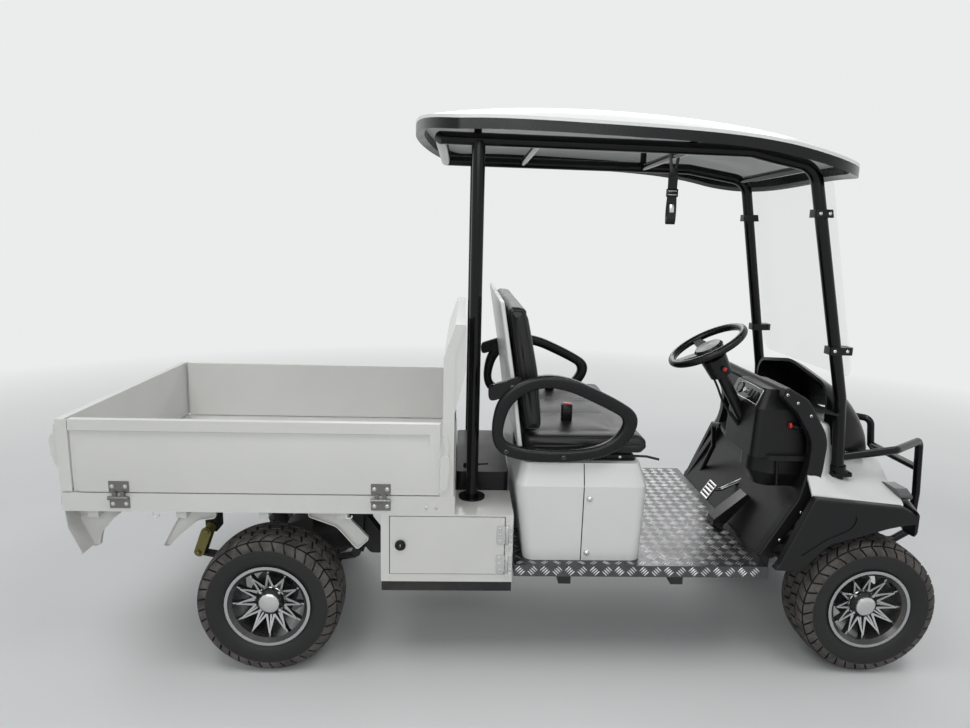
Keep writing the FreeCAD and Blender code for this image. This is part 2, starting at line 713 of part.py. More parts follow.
def drop_side(side):
    """Side wall: top rail, shadow groove, bevel with a mitred end, flat panel and front stile."""
    out = BED_HALF
    low = BASE_TOP + WALL_GAP
    x0 = BED_REAR + TAIL_T + 3
    corners = [(out, WALL_TOP, 0), (out, GROOVE[1], 0), (out - GROOVE_T, GROOVE[1] - 4, 0),
               (out - GROOVE_T, GROOVE[0], 0), (out, BEVEL_LOW, 0), (out, low, 0), (out - WALL_T, low, 0),
               (out - WALL_T, WALL_TOP, 0)]
    wall = slab_x(corners, x0, SIDE_FRONT)
    mitre = slab_z([(x0 - 1, out + 1, 0), (x0 + 33, out + 1, 0), (x0 + 14, out - GROOVE_T, 0),
                    (x0 - 1, out - GROOVE_T, 0)], low - 1, GROOVE[1] - 2)
    stile = box((SIDE_FRONT - STILE_W, SIDE_FRONT), (out - WALL_T, out), (low, WALL_TOP))
    return on_side(fuse([wall.cut(mitre), stile]), side)


def tailgate():
    """Rear wall with the same rail, groove and bevel, and a latch near each end."""
    x = BED_REAR
    low = BASE_TOP + WALL_GAP
    corners = [(x, WALL_TOP, 0), (x, GROOVE[1], 0), (x + GROOVE_T, GROOVE[1] - 4, 0), (x + GROOVE_T, GROOVE[0], 0),
               (x, BEVEL_LOW, 0), (x, low, 0), (x + WALL_T, low, 0), (x + WALL_T, WALL_TOP, 0)]
    shapes = [slab_y(corners, -BED_HALF, BED_HALF)]
    shapes += both_sides(box((x, x + TAIL_T), (BED_HALF - 6, BED_HALF), (low, WALL_TOP)))
    shapes += both_sides(box((x, x + WALL_T), (BED_HALF - STILE_W, BED_HALF), (low, WALL_TOP)))
    lever = slab_y([(x + 1, 858, 0), (x - 12, 848, 6), (x - 30, 905, 14), (x - 35, 960, 14), (x - 24, 990, 10),
                    (x + 1, 985, 0)], BED_HALF - 44, BED_HALF - 12)
    hook = slab_y([(x + 1, 985, 0), (x - 22, 985, 8), (x - 18, 1022, 6), (x + 1, 1026, 0)],
                  BED_HALF - 34, BED_HALF - 22)
    shapes += both_sides(lever) + both_sides(hook)
    return fuse(shapes)


def wall_hinge(on_frame):
    """Strap hinge drawn at the origin: axis along X, wall above, rail below, outside towards +Y."""
    w = HINGE_W / 2
    t = 3
    plate_y = -HINGE_OUT
    knuckles = 5
    step = HINGE_W / knuckles
    if on_frame:
        shapes = [box((-w, w), (plate_y, plate_y + t), (-HINGE_REACH, -4))]
        first = 0
        web_z = (-6, 0)
    else:
        shapes = [box((-w, w), (plate_y, plate_y + t), (HINGE_RISE, HINGE_RISE + HINGE_REACH))]
        first = 1
        web_z = (0, HINGE_RISE + 4)
    for i in range(first, knuckles, 2):
        x = (-w + i * step, -w + (i + 1) * step - 0.4)
        shapes.append(rod(V(x[0], 0, 0), V(x[1], 0, 0), HINGE_R))
        shapes.append(box(x, (plate_y, 0), web_z))
    bore = rod(V(-w - 1, 0, 0), V(w + 1, 0, 0), PIN_R + (0 if on_frame else RUN_FIT))
    solid = fuse(shapes).cut(bore)
    if on_frame:
        solid = fuse([solid, rod(V(-w, 0, 0), V(w, 0, 0), PIN_R)])
    return solid


def placed_hinges(on_frame, wall):
    """Hinge leaves of one wall, either those on the bed or those on the wall."""
    leaf = wall_hinge(on_frame)
    found = []
    if wall == "tail":
        for y in TAIL_HINGE_Y:
            piece = leaf.copy()
            piece.rotate(V(0, 0, 0), Z_AXIS, 90)
            piece.translate(V(BED_REAR - HINGE_OUT, y, HINGE_Z))
            found.append(piece)
        return found
    for x in SIDE_HINGE_X:
        piece = leaf.copy()
        piece.translate(V(x, BED_HALF + HINGE_OUT, HINGE_Z))
        found.append(on_side(piece, SIDES[wall]))
    return found


# Lockers

def locker(side):
    """Side locker of folded sheet, open towards its door."""
    y_out = BED_HALF
    wall = BOX_WALL
    shell = box(BOX_X, (BOX_IN, y_out), BOX_Z)
    inner = box((BOX_X[0] + wall, BOX_X[1] - wall), (BOX_IN + wall, y_out - wall),
                (BOX_Z[0] + wall, BOX_Z[1] - wall))
    mouth = box((DOOR_X[0] - DOOR_GAP, DOOR_X[1] + DOOR_GAP), (y_out - wall - 1, y_out + 1),
                (DOOR_Z[0] - DOOR_GAP, DOOR_Z[1] + DOOR_GAP))
    shapes = [shell.cut(inner).cut(mouth)]
    pin_y = y_out + DOOR_PIN_OUT
    for z in DOOR_HINGE_Z:
        for z0 in (z - DOOR_KNUCKLE - SEAT_GAP - 12, z + DOOR_KNUCKLE + SEAT_GAP):
            shapes.append(rod(V(DOOR_PIN_X, pin_y, z0), V(DOOR_PIN_X, pin_y, z0 + 12), DOOR_PIN_R))
            shapes.append(box((DOOR_PIN_X, DOOR_PIN_X + 20), (y_out, pin_y), (z0, z0 + 12)))
    return on_side(fuse(shapes), side)


def locker_door(side):
    """Door with its lock and the two hinge barrels at its front edge."""
    y_out = BED_HALF + 2
    shapes = [box(DOOR_X, (y_out - DOOR_T, y_out), DOOR_Z)]
    x, z = LOCK_AT
    shapes.append(rod(V(x, y_out - 2, z), V(x, y_out + 8, z), LOCK_R))
    pin_y = BED_HALF + DOOR_PIN_OUT
    for z in DOOR_HINGE_Z:
        span = (z - DOOR_KNUCKLE, z + DOOR_KNUCKLE)
        shapes.append(rod(V(DOOR_PIN_X, pin_y, span[0]), V(DOOR_PIN_X, pin_y, span[1]), DOOR_PIN_R))
        shapes.append(box((DOOR_X[1] - 30, DOOR_PIN_X), (y_out, y_out + 3), span))
        shapes.append(box((DOOR_PIN_X - 5, DOOR_PIN_X), (y_out, pin_y), span))
    return on_side(fuse(shapes), side)


# Cabin

def floor_plate():
    """Tread-plate floor with a folded edge."""
    x0, x1 = FLOOR_X
    h = FLOOR_HALF
    top = rounded_box((x0, x1), (-h, h), (FLOOR_TOP - FLOOR_EDGE, FLOOR_TOP), 6)
    hollow = box((x0 + FLOOR_T, x1 - FLOOR_T), (-h + FLOOR_T, h - FLOOR_T),
                 (FLOOR_TOP - FLOOR_EDGE - 1, FLOOR_TOP - FLOOR_T))
    return top.cut(hollow)


def seat_base():
    """Moulded box below the seat, open underneath: drafted walls, shoulder, seams and buttons."""
    stations = [
        # z, rear, front, half width, corner radius
        (FLOOR_TOP, -205, 275, 554, 45),
        (SEAT_SHOULDER_Z, -243, 286, 562, 45),
        (SEAT_BASE_Z, -222, 258, 532, 40),
    ]

    def section(station, wall):
        z, x0, x1, half, r = station
        x0, x1, half, r = x0 + wall, x1 - wall, half - wall, r - wall
        return corner_wire([(x0, -half, r), (x1, -half, r), (x1, half, r), (x0, half, r)], xy(z))

    outer = loft([section(station, 0) for station in stations], True)
    z, *plan = stations[0]
    top_z, *top_plan = stations[2]
    cavity = [(z - 1, *plan), stations[1], (top_z - SEAT_BASE_WALL, *top_plan)]
    inner = loft([section(station, SEAT_BASE_WALL) for station in cavity], True)
    shell = outer.cut(inner)
    seam = slab_x([(551, FLOOR_TOP - 5, 0), (559, SEAT_SHOULDER_Z, 0), (529, SEAT_BASE_Z + 5, 0),
                   (580, SEAT_BASE_Z + 5, 0), (580, FLOOR_TOP - 5, 0)], SEAT_SEAM_X - 1.5, SEAT_SEAM_X + 1.5)
    shapes = [shell.cut(both_sides(seam))]
    for z, y in ((508, 554), (740, 560)):
        shapes += both_sides(rod(V(SEAT_SEAM_X + 24, y - 4, z), V(SEAT_SEAM_X + 24, y + 5, z), 11))
    return fuse(shapes)


def rear_cover():
    """Black deck over the drive, between the lockers."""
    half = BOX_IN - 4
    return rounded_box((BED_FRONT + 4, -258), (-half, half), (RAIL_TOP + SEAT_GAP, 765), 20)


def seat_rails():
    """Black pan and slides under the cushion, with the lever and the feet of the back."""
    pan_z = (SEAT_BASE_Z, SEAT_BASE_Z + 6)
    pan = rounded_box((-215, 250), (-500, 500), pan_z, 35)
    shapes = [pan]
    for y in (-380, 380):
        shapes.append(box((-190, 250), (y - 15, y + 15), (pan_z[0] + 2, CUSHION_LOW - SEAT_GAP)))
    for y in (-490, 460):
        shapes.append(box((-200, 235), (y, y + 30), (pan_z[0] + 2, CUSHION_LOW - SEAT_GAP)))
    shapes.append(bent_tube([V(220, -470, 893), V(292, -478, 893), V(338, -500, 888)], 5, 20))
    for y in (-300, 300):
        shapes.append(box((-240, -205), (y - 30, y + 30), (pan_z[0] + 2, CUSHION_LOW - 2)))
        shapes.append(box((-240, CUSHION_X[0] - 1), (y - 30, y + 30), (pan_z[0] + 2, 930 - SEAT_GAP)))
    return [fuse(shapes)]


def belt_buckles():
    """Two upright buckles at the rear of the cushion."""
    low = CUSHION_TOP + SEAT_GAP
    found = []
    for y in (-300, 300):
        found.append(slab_y([(-34, low, 0), (2, low, 0), (4, low + 70, 5), (-32, low + 72, 5)], y - 12, y + 12))
    return found


def seat_cushion():
    """Bench cushion, rounded over the front edge."""
    front = CUSHION_X[1]
    corners = [(CUSHION_X[0], CUSHION_LOW, 20), (front - 40, CUSHION_LOW, 30), (front, 950, 30),
               (front - 30, CUSHION_TOP, 25), (CUSHION_X[0], CUSHION_TOP, 20)]
    return slab_y(corners, -SEAT_HALF, SEAT_HALF)


def seat_back_pad():
    """Upholstered back that leans rearwards."""
    foot = CUSHION_TOP + SEAT_GAP
    corners = [(-215, foot, 12), (-150, foot, 25), (-172, 1230, 60), (-232, 1482, 20), (-288, 1490, 12),
               (-250, 1200, 90)]
    return slab_y(corners, -SEAT_HALF, SEAT_HALF)


def seat_back_shell():
    """Moulded white back behind the pad."""
    corners = [(-238, 930, 6), (-216, 930, 6), (-251, 1200, 90), (-289, 1490, 0), (-296, 1519, 6), (-340, 1519, 10),
               (-292, 1190, 90)]
    return slab_y(corners, -SHELL_HALF, SHELL_HALF)


def armrests():
    """Closed egg-shaped loop with softened edges at each end of the bench, on a pivot bracket."""
    inner_y = SHELL_HALF
    outer_y = SHELL_HALF + ARMREST_W
    outer = [(-348, 1005, 60), (-300, 1175, 90), (-110, 1245, 120), (120, 1150, 120), (232, 1072, 50),
             (150, 930, 120), (-72, 893, 150), (-290, 915, 90)]
    inner = [(-305, 1005, 40), (-262, 1150, 60), (-110, 1196, 100), (100, 1105, 80), (178, 1060, 20),
             (110, 972, 80), (-72, 942, 120), (-262, 958, 60)]
    loop = slab_y(outer, inner_y, outer_y).cut(slab_y(inner, inner_y - 1, outer_y + 1))
    loop = softened(loop, outer_y, 10)
    bracket = slab_y([(-362, 1128, 24), (-362, 1192, 26), (-240, 1232, 10), (-228, 1190, 10), (-300, 1150, 10)],
                     inner_y, outer_y - 14)
    return both_sides(fuse([loop, bracket]))


# Front body

def front_curve(z, grow, back=0):
    """Room behind the bowed nose between two heights, grown all round and moved back by given lengths."""
    half = FENDER_OUT + grow
    corner = NOSE_X - NOSE_BOW + grow - back
    back_x = RAIL_STEP_X - 20
    a = V(corner, -half, z[0])
    c = V(corner, half, z[0])
    front = Part.Arc(a, V(NOSE_X + grow - back, 0, z[0]), c).toShape()
    back = Part.makePolygon([c, V(back_x, half, z[0]), V(back_x, -half, z[0]), a])
    return Part.Face(Part.Wire([front] + back.Edges)).extrude(V(0, 0, z[1] - z[0]))


def hood():
    """White front shell: sloping fender tops, flanks that sweep in from the dash, and a crown."""
    stations = [
        # x, fender top, foot of the flank (y, z), shoulder (y, z), crown
        (955, 766, (499, 830), (490, 1070), 1072),
        (1015, 760, (496, 822), (482, 1040), 1058),
        (1080, 754, (430, 812), (390, 1015), 1050),
        (1140, 748, (368, 800), (325, 985), 1036),
        (1240, 738, (348, 785), (290, 925), 1000),
        (1340, 727, (332, 768), (260, 860), 945),
        (1420, 716, (318, 752), (235, 800), 893),
        (1500, 700, (305, 722), (210, 738), 800),
    ]

    def section(station, wall):
        x, shelf, (foot_y, foot_z), (top_y, top_z), crown = station
        half = HOOD_HALF - wall
        low = HOOD_LOW - wall
        side = [(half, low, 0), (half, shelf - wall, 8), (foot_y - wall, foot_z - wall, 14),
                (top_y - wall, top_z - wall, 24)]
        other = [(-y, z, r) for y, z, r in reversed(side)]
        return corner_wire(side + [(0, crown - wall, 200)] + other, yz(x))

    tall = (BUMPER_Z[0], 1200)
    outer = loft([section(station, 0) for station in stations]).common(front_curve(tall, 0, LIP_W))
    inner = loft([section(station, HOOD_T) for station in stations])
    inner = inner.common(front_curve(tall, 0, LIP_W + HOOD_T))
    return outer.cut(inner).cut(cabin_room())


def dash_outline():
    """Side view of the dash panel as (x, z, radius), from its foot up the driver's side and down ahead."""
    foot = FLOOR_X[1] + SEAT_GAP
    low = RAIL_TOP + SEAT_GAP
    return [(foot, low, 0), (foot, FLOOR_TOP + 3, 0), (955, 722, 120), (985, 860, 150), (988, 979, 150),
            (905, 1105, 60), (838, 1160, 10), (845, 1186, 8), (925, 1135, 80), (1020, 985, 150),
            (1012, 850, 150), (985, 715, 120), (828, FLOOR_TOP, 20), (828, low, 0)]


def rim_outline():
    """The same for the raised rim at each side."""
    foot = FLOOR_X[1] + SEAT_GAP
    low = RAIL_TOP + SEAT_GAP
    return [(foot, low, 0), (foot, FLOOR_TOP + 3, 0), (930, 728, 110), (958, 862, 140), (961, 972, 130),
            (886, 1090, 60), (822, 1148, 10), (836, 1196, 12), (932, 1142, 80), (1029, 985, 150),
            (1021, 848, 150), (994, 711, 120), (835, FLOOR_TOP - 4, 20), (835, low, 0)]


def cabin_room():
    """The cabin's side of the dash, which the hood stays out of."""
    ahead = rim_outline()[7:]
    corners = [(700, 1196, 0), (836, 1196, 0)] + ahead[1:] + [(700, ahead[-1][1], 0)]
    return slab_y(corners, -DASH_HALF - SEAT_GAP, DASH_HALF + SEAT_GAP)


def front_fender():
    """Black lower front: side panels with the arches, raised borders, and the bumper roll round the nose."""
    corner = NOSE_X - NOSE_BOW
    side_view = [(814, 452, 6), (835, 480, 30), (953, 762, 12), (1326, 726, 60), (corner, 690, 20),
                 (corner, 652, 14), (1330, 648, 40), (1260, 632, 90), (1157, 598, 110), (1030, 560, 90),
                 (927, 444, 8)]
    recess = [(900, 500, 10), (985, 708, 16), (1130, 694, 14), (1130, 640, 60), (1020, 588, 60)]
    panel = slab_y(side_view, FENDER_OUT - PANEL_T, FENDER_OUT)
    panel = softened(panel, FENDER_OUT, 9)
    panel = panel.cut(slab_y(recess, FENDER_OUT - 4, FENDER_OUT + 1))
    low, high = BUMPER_Z
    roll = front_curve((low, LIP_Z), 0)
    longest = max(edge.Length for edge in roll.Edges if edge.Curve.TypeId == "Part::GeomCircle")
    nose = [edge for edge in roll.Edges
            if edge.Curve.TypeId == "Part::GeomCircle" and abs(edge.Length - longest) < 1]
    roll = roll.makeFillet(LIP_ROUND, nose)
    roll = roll.cut(front_curve((low - 1, high - 8), -BUMPER_T))
    roll = roll.cut(front_curve((low - 1, LIP_Z + 1), SEAT_GAP - BUMPER_T, LIP_W - BUMPER_T))
    roll = roll.cut(box((RAIL_STEP_X - 40, corner - 12), (-FENDER_OUT - 1, FENDER_OUT + 1),
                        (low - 1, LIP_Z + 1)))
    return fuse(both_sides(panel) + [roll])


def bin_outline(grow):
    """Plan of the bin below the shelf, as (x, y, radius)."""
    return [(1000, -404 - grow, 0), (850, -404 - grow, 60), (778 - grow, -345, 50), (778 - grow, -245, 50),
            (850, -186 + grow, 60), (1000, -186 + grow, 0)]


def dash():
    """Moulded panel with raised rims, pedestal and binnacle, shelf, bin, ear and scuttle tray."""
    shapes = [slab_y(dash_outline(), -DASH_HALF + DASH_RIM, DASH_HALF - DASH_RIM)]
    edge = slab_y(rim_outline(), DASH_HALF - DASH_RIM, DASH_HALF)
    shapes += both_sides(softened(edge, DASH_HALF, 9))
    hump = [
        # z, rear, front, right, left, corner radius
        (880, 748, 990, -432, -104, 30),
        (1085, 757, 955, -430, -112, 30),
        (1166, 792, 905, -402, -132, 26),
    ]
    shapes.append(loft([corner_wire([(x0, y0, r), (x1, y0, r), (x1, y1, r), (x0, y1, r)], xy(z))
                        for z, x0, x1, y0, y1, r in hump], True))
    shelf = [(1000, -452, 0), (820, -452, 40), (770, -380, 60), (770, -60, 60), (800, 75, 24), (850, 92, 20),
             (1000, 60, 0)]
    shapes.append(slab_z(shelf, 872, 893))
    bin_levels = ((873, 0), (800, 4), (735, -34))
    shapes.append(loft([corner_wire(bin_outline(grow), xy(z)) for z, grow in bin_levels], True))
    ear = [V(800, 60, 882), V(792, 132, 866), V(846, 250, 720), V(840, 404, 500)]
    shapes.append(bent_tube(ear, 12, 30))
    shapes.append(rod(CABLE_PATH[-1], CABLE_PATH[-1].add(cable_end() * 80), CABLE_R + 3))
    tray = [(880, 1120, 0), (930, 1104, 30), (1085, 1074, 0), (1085, 1066, 0), (930, 1094, 30), (880, 1108, 0)]
    shapes.append(slab_y(tray, -DASH_HALF + DASH_RIM + 5, DASH_HALF - DASH_RIM - 5))
    return fuse(shapes)


def cowl():
    """Black scuttle below the windshield: an arch that opens towards the driver and runs down onto the hood."""
    stations = [
        # x, half width, foot, shoulder (y, z), peak, radius of the shoulder
        (1082, 366, 930, (350, 1175), 1230, 90),
        (1165, 364, 900, (340, 1130), 1186, 90),
        (1300, 330, 850, (290, 965), 1012, 60),
    ]

    def arch(station, wall):
        x, half, foot, (top_y, top_z), peak, r = station
        side = [(half - wall, foot, 0), (top_y - wall, top_z - wall, r - wall)]
        other = [(-y, z, radius) for y, z, radius in reversed(side)]
        return corner_wire(side + [(0, peak - wall, 300)] + other, yz(x))

    outer = loft([arch(station, 0) for station in stations])
    x, *rear = stations[0]
    low_x, *front = stations[2]
    cavity = [(x - 1, *rear), stations[1], (low_x + 1, *front)]
    inner = loft([arch(station, COWL_T) for station in cavity])
    return outer.cut(inner)


def headlamps():
    """Almond lamps in the corners of the nose."""
    lamp = slab_x([(352, 734, 8), (372, 764, 30), (470, 764, 20), (520, 740, 8), (480, 720, 30)], 1352, 1402)
    return both_sides(lamp)


def tail_lamps():
    """Flat lamps on the rear rail."""
    lamp = slab_x([(500, BASE_LOW + 12, 8), (580, BASE_LOW + 12, 8), (580, BASE_TOP - 16, 8),
                   (500, BASE_TOP - 16, 8)], BED_REAR - 10, BED_REAR)
    return both_sides(lamp)


def dash_controls():
    """Two selector levers, the key switch and the park knob on the panel."""
    shapes = []
    for y, z, reach in ((-398, 1015, 46), (-440, 1010, 70)):
        shapes.append(rod(V(985, y, z), V(985 - reach, y, z + 8), 8))
        shapes.append(rod(V(985 - reach + 6, y, z + 7), V(985 - reach - 20, y, z + 11), 13))
    lever = [V(900, -418, 905), V(862, -420, 880), V(868, -424, 760)]
    shapes.append(bent_tube(lever, 6, 12))
    shapes.append(rod(V(800, -330, 893 + SEAT_GAP), V(800, -330, 918), 15))
    return [fuse(shapes[:2]), fuse(shapes[2:4]), shapes[4], shapes[5]]


def pedals():
    """Floor-hinged accelerator block, and the brake pedal: a ladder on an arm from the toe board."""
    accel = slab_y([(698, FLOOR_TOP + SEAT_GAP, 4), (745, FLOOR_TOP + SEAT_GAP, 4), (862, 612, 6), (848, 634, 8),
                    (700, 505, 10)], -205, -130)
    ladder = [slab_y([(716, 545, 0), (724, 541, 0), (768, 608, 0), (760, 613, 0)], y, y + 8) for y in (-52, 28)]
    for share in (0.04, 0.27, 0.5, 0.73, 0.96):
        x, z = 716 + 44 * share, 545 + 67 * share
        ladder.append(rod(V(x + 4, -50, z - 2), V(x + 4, 32, z - 2), 6))
    arm = bent_tube([V(742, -8, 578), V(800, -8, 580), V(925, -8, 640)], 9, 30)
    return [accel, fuse(ladder + [arm])]


def steer_axis():
    """Direction of the column, from the floor up to the driver."""
    a = math.radians(STEER_TILT)
    return V(-math.sin(a), 0, math.cos(a))


def shroud_top():
    return STEER_POINT.sub(steer_axis() * (SHROUD_DROP + SEAT_GAP))


def steering_column():
    """Jacket of the column, the tapered shroud below the wheel, its button boss and side lever."""
    axis = steer_axis()
    top = shroud_top()
    low = top.sub(axis * SHROUD_LENGTH)
    shapes = [rod(top.sub(axis * COLUMN_LENGTH), top, COLUMN_R),
              Part.makeCone(SHROUD_R, SHROUD_R + 8, SHROUD_LENGTH - 12, low, axis),
              Part.makeCone(SHROUD_R + 8, SHROUD_R - 12, 12, top.sub(axis * 12), axis)]
    boss = low.add(axis * 38)
    shapes.append(rod(boss, boss.add(V(8, -62, 0)), 13))
    lever = top.sub(axis * 34)
    shapes.append(bent_tube([lever, lever.add(V(10, 90, 6)), lever.add(V(24, 150, 26))], 6, 30))
    return fuse(shapes)


def cable_start():
    """Where the cable leaves the lower face of the shroud."""
    axis = steer_axis()
    return shroud_top().sub(axis * SHROUD_LENGTH).sub(V(axis.z, 0, -axis.x) * 37)


CABLE_PATH = [cable_start(), cable_start().sub(steer_axis() * 40), V(676, STEER_POINT.y, 1070),
              V(708, STEER_POINT.y, 1030)]


def cable_end():
    """Direction in which the cable runs into the dash."""
    return CABLE_PATH[-1].sub(CABLE_PATH[-2]).normalize()


def column_cable():
    """Limp cable from the shroud to the dash, each bend as wide as its shorter run allows."""
    edges = []
    last = CABLE_PATH[0]
    for before, here, after in zip(CABLE_PATH, CABLE_PATH[1:], CABLE_PATH[2:]):
        back = before.sub(here)
        ahead = after.sub(here)
        cut = 0.45 * min(back.Length, ahead.Length)
        half = back.getAngle(ahead) / 2
        bend = cut * math.tan(half)
        print("cable bend radius", round(bend, 1))
        back.normalize()
        ahead.normalize()
        start = here.add(back * cut)
        end = here.add(ahead * cut)
        middle = here.add(back.add(ahead).normalize() * (bend / math.sin(half) - bend))
        edges.append(Part.LineSegment(last, start).toShape())
        edges.append(Part.Arc(start, middle, end).toShape())
        last = end
    edges.append(Part.LineSegment(last, CABLE_PATH[-1]).toShape())
    ring = Part.Wire(Part.makeCircle(CABLE_R, CABLE_PATH[0], CABLE_PATH[1].sub(CABLE_PATH[0])))
    return Part.Wire(edges).makePipeShell([ring], True, False)


def steering_wheel():
    """Thick-rimmed wheel with a round padded hub and three broad spokes."""
    ring = Part.makeTorus(WHEEL_RIM_R, WHEEL_TUBE_R, V(0, 0, 0), Z_AXIS)
    hub_low = -SHROUD_DROP
    hub = turned([(hub_low, 0), (hub_low, 40), (-34, 60), (-12, 64), (-2, 56), (2, 0)], V(0, 0, 0), Z_AXIS)
    shapes = [ring, hub]
    for angle, wide in ((90, 26), (-90, 26), (180, 30)):
        ends = [(40, wide, -34, -16), (WHEEL_RIM_R - 4, wide * 0.62, -6, 6)]
        spoke = loft([Part.makePolygon([V(x, -w, z0), V(x, w, z0), V(x, w, z1), V(x, -w, z1), V(x, -w, z0)])
                      for x, w, z0, z1 in ends], True)
        spoke.rotate(V(0, 0, 0), Z_AXIS, angle)
        shapes.append(spoke)
    whole = fuse(shapes)
    whole.Placement = FreeCAD.Placement(STEER_POINT, FreeCAD.Rotation(Z_AXIS, steer_axis()))
    return whole


def brush_guard():
    """Bent tube guard on the hood, with its cross bars."""
    side = [V(1130, 398, 874), V(1395, 376, 903), V(1622, 190, 892), V(1646, 182, 640), V(1640, 182, 455),
            V(1560, 182, 405), V(RAIL_FRONT + SEAT_GAP, FRONT_RAIL_Y, 405)]
    tube = bent_tube(side, GUARD_R, 36)
    bars = [rod(V(x, -184, z), V(x, 184, z), GUARD_R) for x, z in ((1638, 758), (1643, 560))]
    return fuse(both_sides(tube) + bars)


# Roof

def roof_frame():
    """Bent front posts that run on as side rails, rear posts, cross bars, bosses and feet."""
    x, y, z = FRONT_FOOT
    path = [V(x, y, z - 40), V(*FRONT_BEND), V(*FRONT_TOP), V(650, 380, RAIL_TUBE_Z - 13),
            V(ROOF_REAR_BAR_X, REAR_POST_Y, RAIL_TUBE_Z)]
    shapes = both_sides(bent_tube(path, TUBE_R, 90))
    bars = [
        # x, half length, z, radius
        (ROOF_REAR_BAR_X, REAR_POST_Y, RAIL_TUBE_Z, TUBE_R),
        (-180, 390, RAIL_TUBE_Z - 5, BAR_R),
        (ROOF_BOSSES[1][0], ROOF_BOSSES[1][1] - 3, RAIL_TUBE_Z - 11, BAR_R),
        (FRONT_TOP[0] - 25, FRONT_TOP[1], FRONT_TOP[2], BAR_R),
    ]
    for bar_x, half, bar_z, radius in bars:
        shapes.append(rod(V(bar_x, -half, bar_z), V(bar_x, half, bar_z), radius))
    low = BOX_Z[1]
    room = roof_space(SEAT_GAP)
    for sign in SIDES.values():
        post = sign * REAR_POST_Y
        shapes.append(rod(V(REAR_POST_X, post, low), V(REAR_POST_X, post, RAIL_TUBE_Z - 8), TUBE_R))
        shapes.append(rod(V(REAR_POST_X, post, low), V(REAR_POST_X, post, low + 8), 55))
        for boss_x, boss_y in ROOF_BOSSES:
            foot = V(boss_x, sign * boss_y, RAIL_TUBE_Z - 15)
            shapes.append(rod(foot, foot.add(V(0, 0, 180)), BOSS_R).common(room))
        foot_y = (sign * (y - 30), sign * (y + 30))
        shapes.append(rounded_box((x - 50, x + 50), foot_y, (z - 2, z + 12), 14))
        shapes.append(rod(V(x - 2, sign * y, z + 8), V(x - 5, sign * y, z + 40), TUBE_R + 7))
    return fuse(shapes)


def roof_section(x, crown, side, drop):
    """Crowned cross-section, lowered by a drop: flat far below, one arc on top."""
    half = ROOF_HALF + 5
    base = 1800
    a, b = V(x, -half, base), V(x, -half, side - drop)
    c, d = V(x, half, side - drop), V(x, half, base)
    edges = [Part.LineSegment(a, b).toShape(), Part.Arc(b, V(x, 0, crown - drop), c).toShape(),
             Part.LineSegment(c, d).toShape(), Part.LineSegment(d, a).toShape()]
    return Part.Wire(edges)


def below_roof(drop):
    """Everything below the roof's crowned surface, lowered by a drop."""
    return loft([roof_section(x, crown, side, drop) for x, crown, side in ROOF_STATIONS])


def roof_plan(inset):
    """Upright block with the plan of the roof: straight sides and two half-ellipse ends."""
    half = ROOF_HALF - inset
    z = 1850
    rear_x = ROOF_X[0] + ROOF_END[0]
    front_x = ROOF_X[1] - ROOF_END[1]
    edges = []
    for x, reach, sign in ((rear_x, ROOF_END[0] - inset, -1), (front_x, ROOF_END[1] - inset, 1)):
        ellipse = Part.Ellipse(V(x, half, z), V(x + sign * reach, 0, z), V(x, 0, z))
        edges.append((ellipse, x, sign))
    outline = []
    for ellipse, x, sign in edges:
        arc = Part.ArcOfEllipse(ellipse, 0, math.pi)
        mid = arc.value(math.pi / 2)
        if (mid.x - x) * sign < 0:
            arc = Part.ArcOfEllipse(ellipse, math.pi, 2 * math.pi)
        outline.append(arc.toShape())
    outline.append(Part.LineSegment(V(rear_x, half, z), V(front_x, half, z)).toShape())
    outline.append(Part.LineSegment(V(front_x, -half, z), V(rear_x, -half, z)).toShape())
    return Part.Face(Part.Wire(Part.__sortEdges__(outline))).extrude(V(0, 0, 600))


def roof_space(gap):
    """Room under the roof, below its inner face by a gap."""
    return below_roof(ROOF_T + gap).common(roof_plan(ROOF_EDGE_W + gap))


def roof_pieces():
    """White roof shell and the black edge that hangs from its rim."""
    shell = below_roof(0).cut(below_roof(ROOF_T)).common(roof_plan(0))
    edge = below_roof(ROOF_T).cut(below_roof(ROOF_T + ROOF_EDGE_H))
    edge = edge.common(roof_plan(0)).cut(roof_plan(ROOF_EDGE_W))
    return shell, edge


def windshield():
    """Clear pane ahead of the front posts, with the clips that hold it."""
    low = V(1137, 0, 1215)
    high = V(975, 0, 2010)
    tall = high.sub(low).Length
    pane = Part.Face(corner_wire([(-415, 0, 60), (-400, tall, 30), (400, tall, 30), (415, 0, 60)], yz(0)))
    solid = pane.extrude(V(5, 0, 0))
    lean = math.degrees(math.atan2(low.x - high.x, high.z - low.z))
    solid.rotate(V(0, 0, 0), Y_AXIS, -lean)
    solid.translate(low)
    found = [solid]
    for z in (1330, 1880):
        share = (z - FRONT_BEND[2]) / (FRONT_TOP[2] - FRONT_BEND[2])
        x, y = [FRONT_BEND[i] + (FRONT_TOP[i] - FRONT_BEND[i]) * share for i in (0, 1)]
        found.append(rounded_box((x - 34, x + 62), (y - 32, y + 32), (z - 16, z + 16), 12))
    return found


def hand_strap():
    """Strap that hangs from the roof's cross bar, folded back through its slide."""
    x = ROOF_BOSSES[1][0]
    top = RAIL_TUBE_Z - 11 - BAR_R - SEAT_GAP
    shapes = [box((x - 4, x + 4), (-158, -124), (1836, top)),
              rounded_box((x - 9, x + 9), (-166, -116), (1940, 1985), 4),
              rounded_box((x - 12, x + 12), (-160, -122), (1822, 1870), 6)]
    return fuse(shapes)


def without(shape, cutters):
    """A piece with openings for what passes through it, keeping its largest solid."""
    for cutter in cutters:
        shape = shape.cut(cutter)
    return max(shape.Solids, key=lambda solid: solid.Volume)


